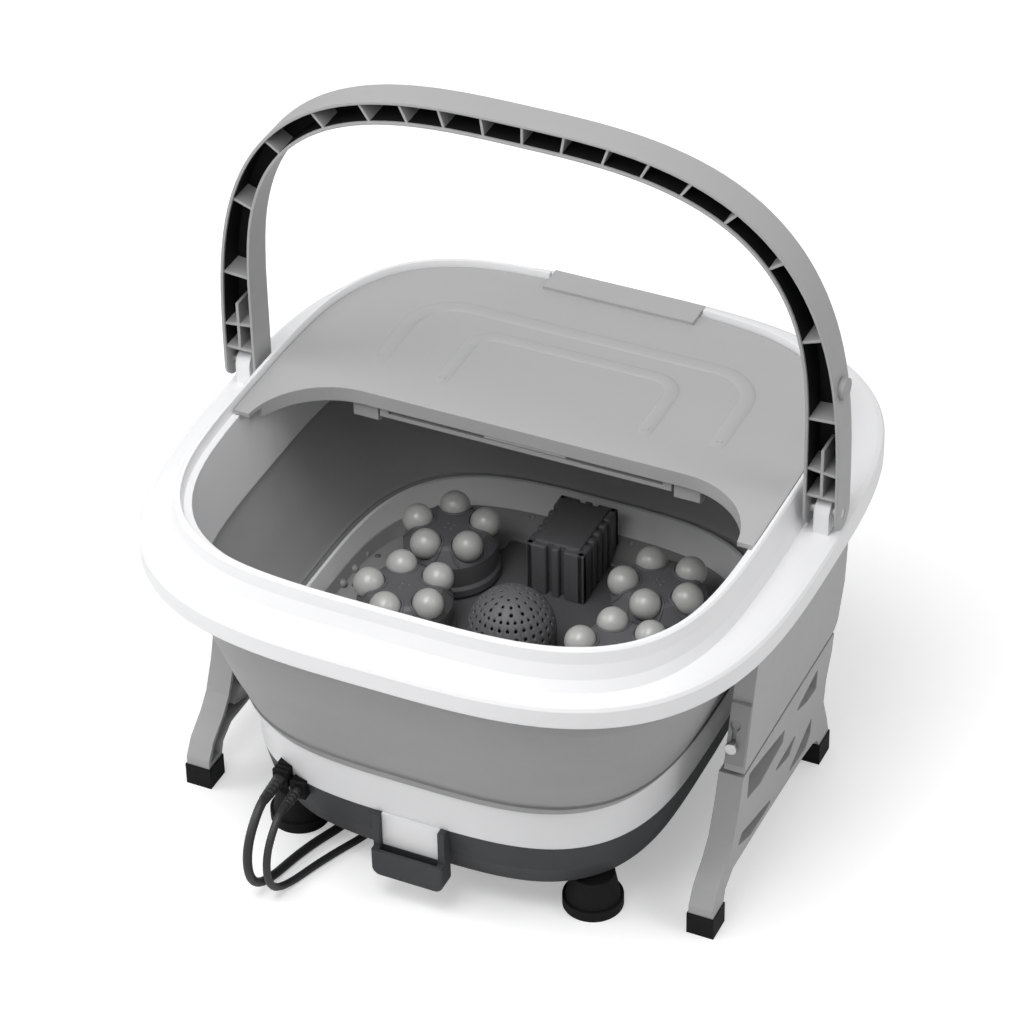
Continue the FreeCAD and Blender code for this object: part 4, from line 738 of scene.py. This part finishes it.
builder = bmesh.new()
half_wide, half_deep = BLOCK_WIDE / 2, BLOCK_DEEP / 2
soft_block(builder, (-half_wide + FIN_DEPTH, BLOCK_Y - half_deep + FIN_DEPTH, FLOOR_Z),
           (half_wide - FIN_DEPTH, BLOCK_Y + half_deep - FIN_DEPTH, BLOCK_TOP), 1.0)
for step in range(FINS_ACROSS):
    x = (step / 2 - 1) * (half_wide - FIN_WIDE / 2)
    for y, low_z in ((BLOCK_Y - half_deep + FIN_REACH, FLOOR_Z),
                     (BLOCK_Y + half_deep - FIN_REACH, REAR_FOOT_Z)):
        soft_block(builder, (x - FIN_WIDE / 2, y - FIN_REACH, low_z),
                   (x + FIN_WIDE / 2, y + FIN_REACH, BLOCK_TOP - FIN_DROP), FIN_ROUNDING)
for step in range(FINS_ALONG):
    y = BLOCK_Y + (step / 3 - 1) * (half_deep - FIN_WIDE / 2)
    low_z = REAR_FOOT_Z if step == FINS_ALONG - 1 else FLOOR_Z
    for side in (-1, 1):
        x = side * (half_wide - FIN_REACH)
        soft_block(builder, (x - FIN_REACH, y - FIN_WIDE / 2, low_z),
                   (x + FIN_REACH, y + FIN_WIDE / 2, BLOCK_TOP - FIN_DROP), FIN_ROUNDING)
heater_block = finished("heater_block", builder, "base", smooth=45)
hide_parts("heater_cover")
paint(heater_block, "floor_plastic")
print("fins:", 2 * (FINS_ACROSS + FINS_ALONG), "block faces:", len(heater_block.data.polygons))

# %% [markdown]
# Two soft ridges are pressed into the lid, one inside the other, each a U that opens to the front. A half
# oval is drawn across the start of the U; extrude carries it along the straights and spin round the corners.

# %% Carry and turn
LID_TOP = 250.25
RIDGE_SUNK, FADE_SUNK, FADE_LONG = 0.1, 0.15, 14
SECTION_STEPS, CORNER_STEPS, FLANK_POWER = 8, 12, 1.4


def carry(mesh_builder, live, shift):
    """Extrudes a row of edges by a shift in millimetres and returns the new row."""
    made = bmesh.ops.extrude_edge_only(mesh_builder, edges=live)["geom"]
    verts = [item for item in made if isinstance(item, bmesh.types.BMVert)]
    bmesh.ops.translate(mesh_builder, vec=Vector(shift) * MM, verts=verts)
    return [item for item in made if isinstance(item, bmesh.types.BMEdge)
            and all(vertex in verts for vertex in item.verts)]


def turn_corner(mesh_builder, live, centre):
    """Spins a row of edges a quarter turn clockwise and returns the last row."""
    made = bmesh.ops.spin(mesh_builder, geom=live + list({v for e in live for v in e.verts}),
                          cent=Vector(centre) * MM, axis=UP, angle=-math.pi / 2, steps=CORNER_STEPS)
    return [item for item in made["geom_last"] if isinstance(item, bmesh.types.BMEdge)]


# %% Lid ridges
def lid_ridge(name, half_wide, rear_y, corner, front_y, wide, tall):
    """A soft U on the lid whose two front ends fade into it."""
    builder = bmesh.new()
    chain = []
    for step in range(SECTION_STEPS + 1):
        angle = math.pi * step / SECTION_STEPS
        x = -half_wide + wide / 2 - wide / 2 * math.cos(angle)
        z = LID_TOP - RIDGE_SUNK + tall * math.sin(angle) ** FLANK_POWER
        chain.append(builder.verts.new(Vector((x, front_y, z)) * MM))
    first_row = [builder.edges.new(pair) for pair in zip(chain, chain[1:])]
    straight = rear_y - corner - front_y
    live = carry(builder, first_row, (0, straight, 0))
    live = turn_corner(builder, live, (-half_wide + corner, rear_y - corner, LID_TOP))
    live = carry(builder, live, (2 * (half_wide - corner), 0, 0))
    live = turn_corner(builder, live, (half_wide - corner, rear_y - corner, LID_TOP))
    last_row = carry(builder, live, (0, -straight, 0))
    for ending in (first_row, last_row):
        fade = carry(builder, ending, (0, -FADE_LONG, 0))
        for vertex in {v for e in fade for v in e.verts}:
            vertex.co.z = (LID_TOP - FADE_SUNK) * MM
    ridge = finished(name, builder, "lid", smooth=50)
    print(name, "faces:", len(ridge.data.polygons))
    return paint(ridge, "grey_plastic")


lid_ridge("lid_outer_ridge", half_wide=122, rear_y=124, corner=36, front_y=52, wide=11, tall=1.5)
lid_ridge("lid_inner_ridge", half_wide=75, rear_y=101, corner=22, front_y=46, wide=10, tall=1.4)

# %% [markdown]
# The carrying arch is a channel that opens to the front, and deep shade makes the channel look almost
# black between its pale ribs. A thin black liner with the same curve lies against its three inner walls as
# painted shade. Four open chains of vertices follow the arch, and bridge_loops joins each to the next.

# %% Channel shade liner
# An arch is half its width, the height of its shoulders and the height of its top.
ARCH_OUTER = (209.3, 248.0, 473.3)
ARCH_INNER = (187.0, 290.0, 457.8)
ARCH_POWER, ARCH_STEPS, SHADE_LINER_FOOT = 3.0, 96, 258
SHADE_LINER_FRONT, SHADE_LINER_BACK = (1.95, 10), (2.1, 28.5)


def arch_chain(mesh_builder, outline, offset, y):
    """An open chain of edges along an arch, from one foot of the shade liner to the other."""
    half_wide, shoulder, top = outline
    wide, tall = half_wide + offset, top + offset - shoulder
    places = [(wide, y, SHADE_LINER_FOOT)]
    for step in range(ARCH_STEPS + 1):
        turn = math.pi * step / ARCH_STEPS
        reach = outline_reach(turn, wide, tall, ARCH_POWER)
        places.append((reach * math.cos(turn), y, max(shoulder + reach * math.sin(turn), SHADE_LINER_FOOT)))
    places.append((-wide, y, SHADE_LINER_FOOT))
    verts = [mesh_builder.verts.new(Vector(place) * MM) for place in places]
    return [mesh_builder.edges.new(pair) for pair in zip(verts, verts[1:])]


builder = bmesh.new()
chains = [arch_chain(builder, ARCH_OUTER, -gap, y) for gap, y in (SHADE_LINER_FRONT, SHADE_LINER_BACK)]
chains += [arch_chain(builder, ARCH_INNER, gap, y) for gap, y in (SHADE_LINER_BACK, SHADE_LINER_FRONT)]
bridge_all(builder, chains)
shade_liner = finished("arch_channel_shade_liner", builder, "handle", smooth=45)
# Painted shade: the black liner darkens the channel where deep shade falls between the ribs.
paint(shade_liner, "black_rubber")
print("liner faces:", len(shade_liner.data.polygons))

# %% [markdown]
# The picture is a plain product shot: a white ground and even light from above, left and right, with a small
# lamp that looks into the basin. Four disc lamps and a pale world make it. The world is brighter to the
# camera and to reflections than to matt surfaces, so the backdrop is white and the shadows stay soft.

# %% Lamps
def soft_lamp(name, place, aim, size, power):
    """A disc lamp at a place, aimed at a point; places in metres, power in watts."""
    lamp = bpy.data.lights.new(name, "AREA")
    lamp.shape = "DISK"
    lamp.size = size
    lamp.energy = power
    holder = bpy.data.objects.new(name, lamp)
    bpy.context.scene.collection.objects.link(holder)
    way = Vector(aim) - Vector(place)
    holder.matrix_world = Matrix.Translation(place) @ way.to_track_quat("-Z", "Y").to_matrix().to_4x4()


soft_lamp("lamp_above", (-0.1, -0.6, 2.6), aim=(0, 0, 0.15), size=1.5, power=22)
soft_lamp("lamp_right", (2.2, 0.1, 1.9), aim=(0, 0, 0.2), size=1.4, power=15)
soft_lamp("lamp_left", (-2.2, -1.0, 1.3), aim=(0, 0, 0.15), size=1.6, power=24)
soft_lamp("lamp_inside", (-0.05, -0.55, 0.95), aim=(0, 0.1, 0.12), size=0.5, power=2.6)
print("lamps:", len(bpy.data.lights))

# %% World
MATT_LIGHT, SEEN_LIGHT = 0.40, 1.0
world = bpy.data.worlds.new("studio")
bpy.context.scene.world = world
world.use_nodes = True
tree = world.node_tree
backdrop = tree.nodes["Background"]
rays = tree.nodes.new("ShaderNodeLightPath")
seen = maths(tree, "MAXIMUM", rays.outputs["Is Camera Ray"],
             maths(tree, "MAXIMUM", rays.outputs["Is Glossy Ray"], rays.outputs["Is Transmission Ray"]))
strength = maths(tree, "MULTIPLY_ADD", seen, SEEN_LIGHT - MATT_LIGHT, MATT_LIGHT)
tree.links.new(strength, backdrop.inputs["Strength"])
backdrop.inputs["Color"].default_value = (1, 1, 1, 1)
print("world light on matt surfaces:", MATT_LIGHT)

# %% Ground
GROUND_HALF, GROUND_LIFT = 6.0, 0.35
builder = bmesh.new()
bmesh.ops.create_grid(builder, x_segments=2, y_segments=2, size=GROUND_HALF)
ground_mesh = bpy.data.meshes.new("ground")
builder.to_mesh(ground_mesh)
builder.free()
ground = bpy.data.objects.new("ground", ground_mesh)
bpy.context.scene.collection.objects.link(ground)
floor = bpy.data.materials.new("white_ground")
floor.use_nodes = True
tree = floor.node_tree
sheen = tree.nodes["Principled BSDF"]
sheen.inputs["Base Color"].default_value = (0.86, 0.86, 0.86, 1)
sheen.inputs["Roughness"].default_value = 0.9
glow = tree.nodes.new("ShaderNodeEmission")
glow.inputs["Color"].default_value = (1, 1, 1, 1)
lift = tree.nodes.new("ShaderNodeAddShader")
rays = tree.nodes.new("ShaderNodeLightPath")
tree.links.new(maths(tree, "MULTIPLY", rays.outputs["Is Camera Ray"], GROUND_LIFT), glow.inputs["Strength"])
tree.links.new(sheen.outputs[0], lift.inputs[0])
tree.links.new(glow.outputs[0], lift.inputs[1])
tree.links.new(lift.outputs[0], tree.nodes["Material Output"].inputs["Surface"])
ground_mesh.materials.append(floor)
bpy.context.scene.view_settings.view_transform = "Standard"
print("ground metres wide:", 2 * GROUND_HALF)
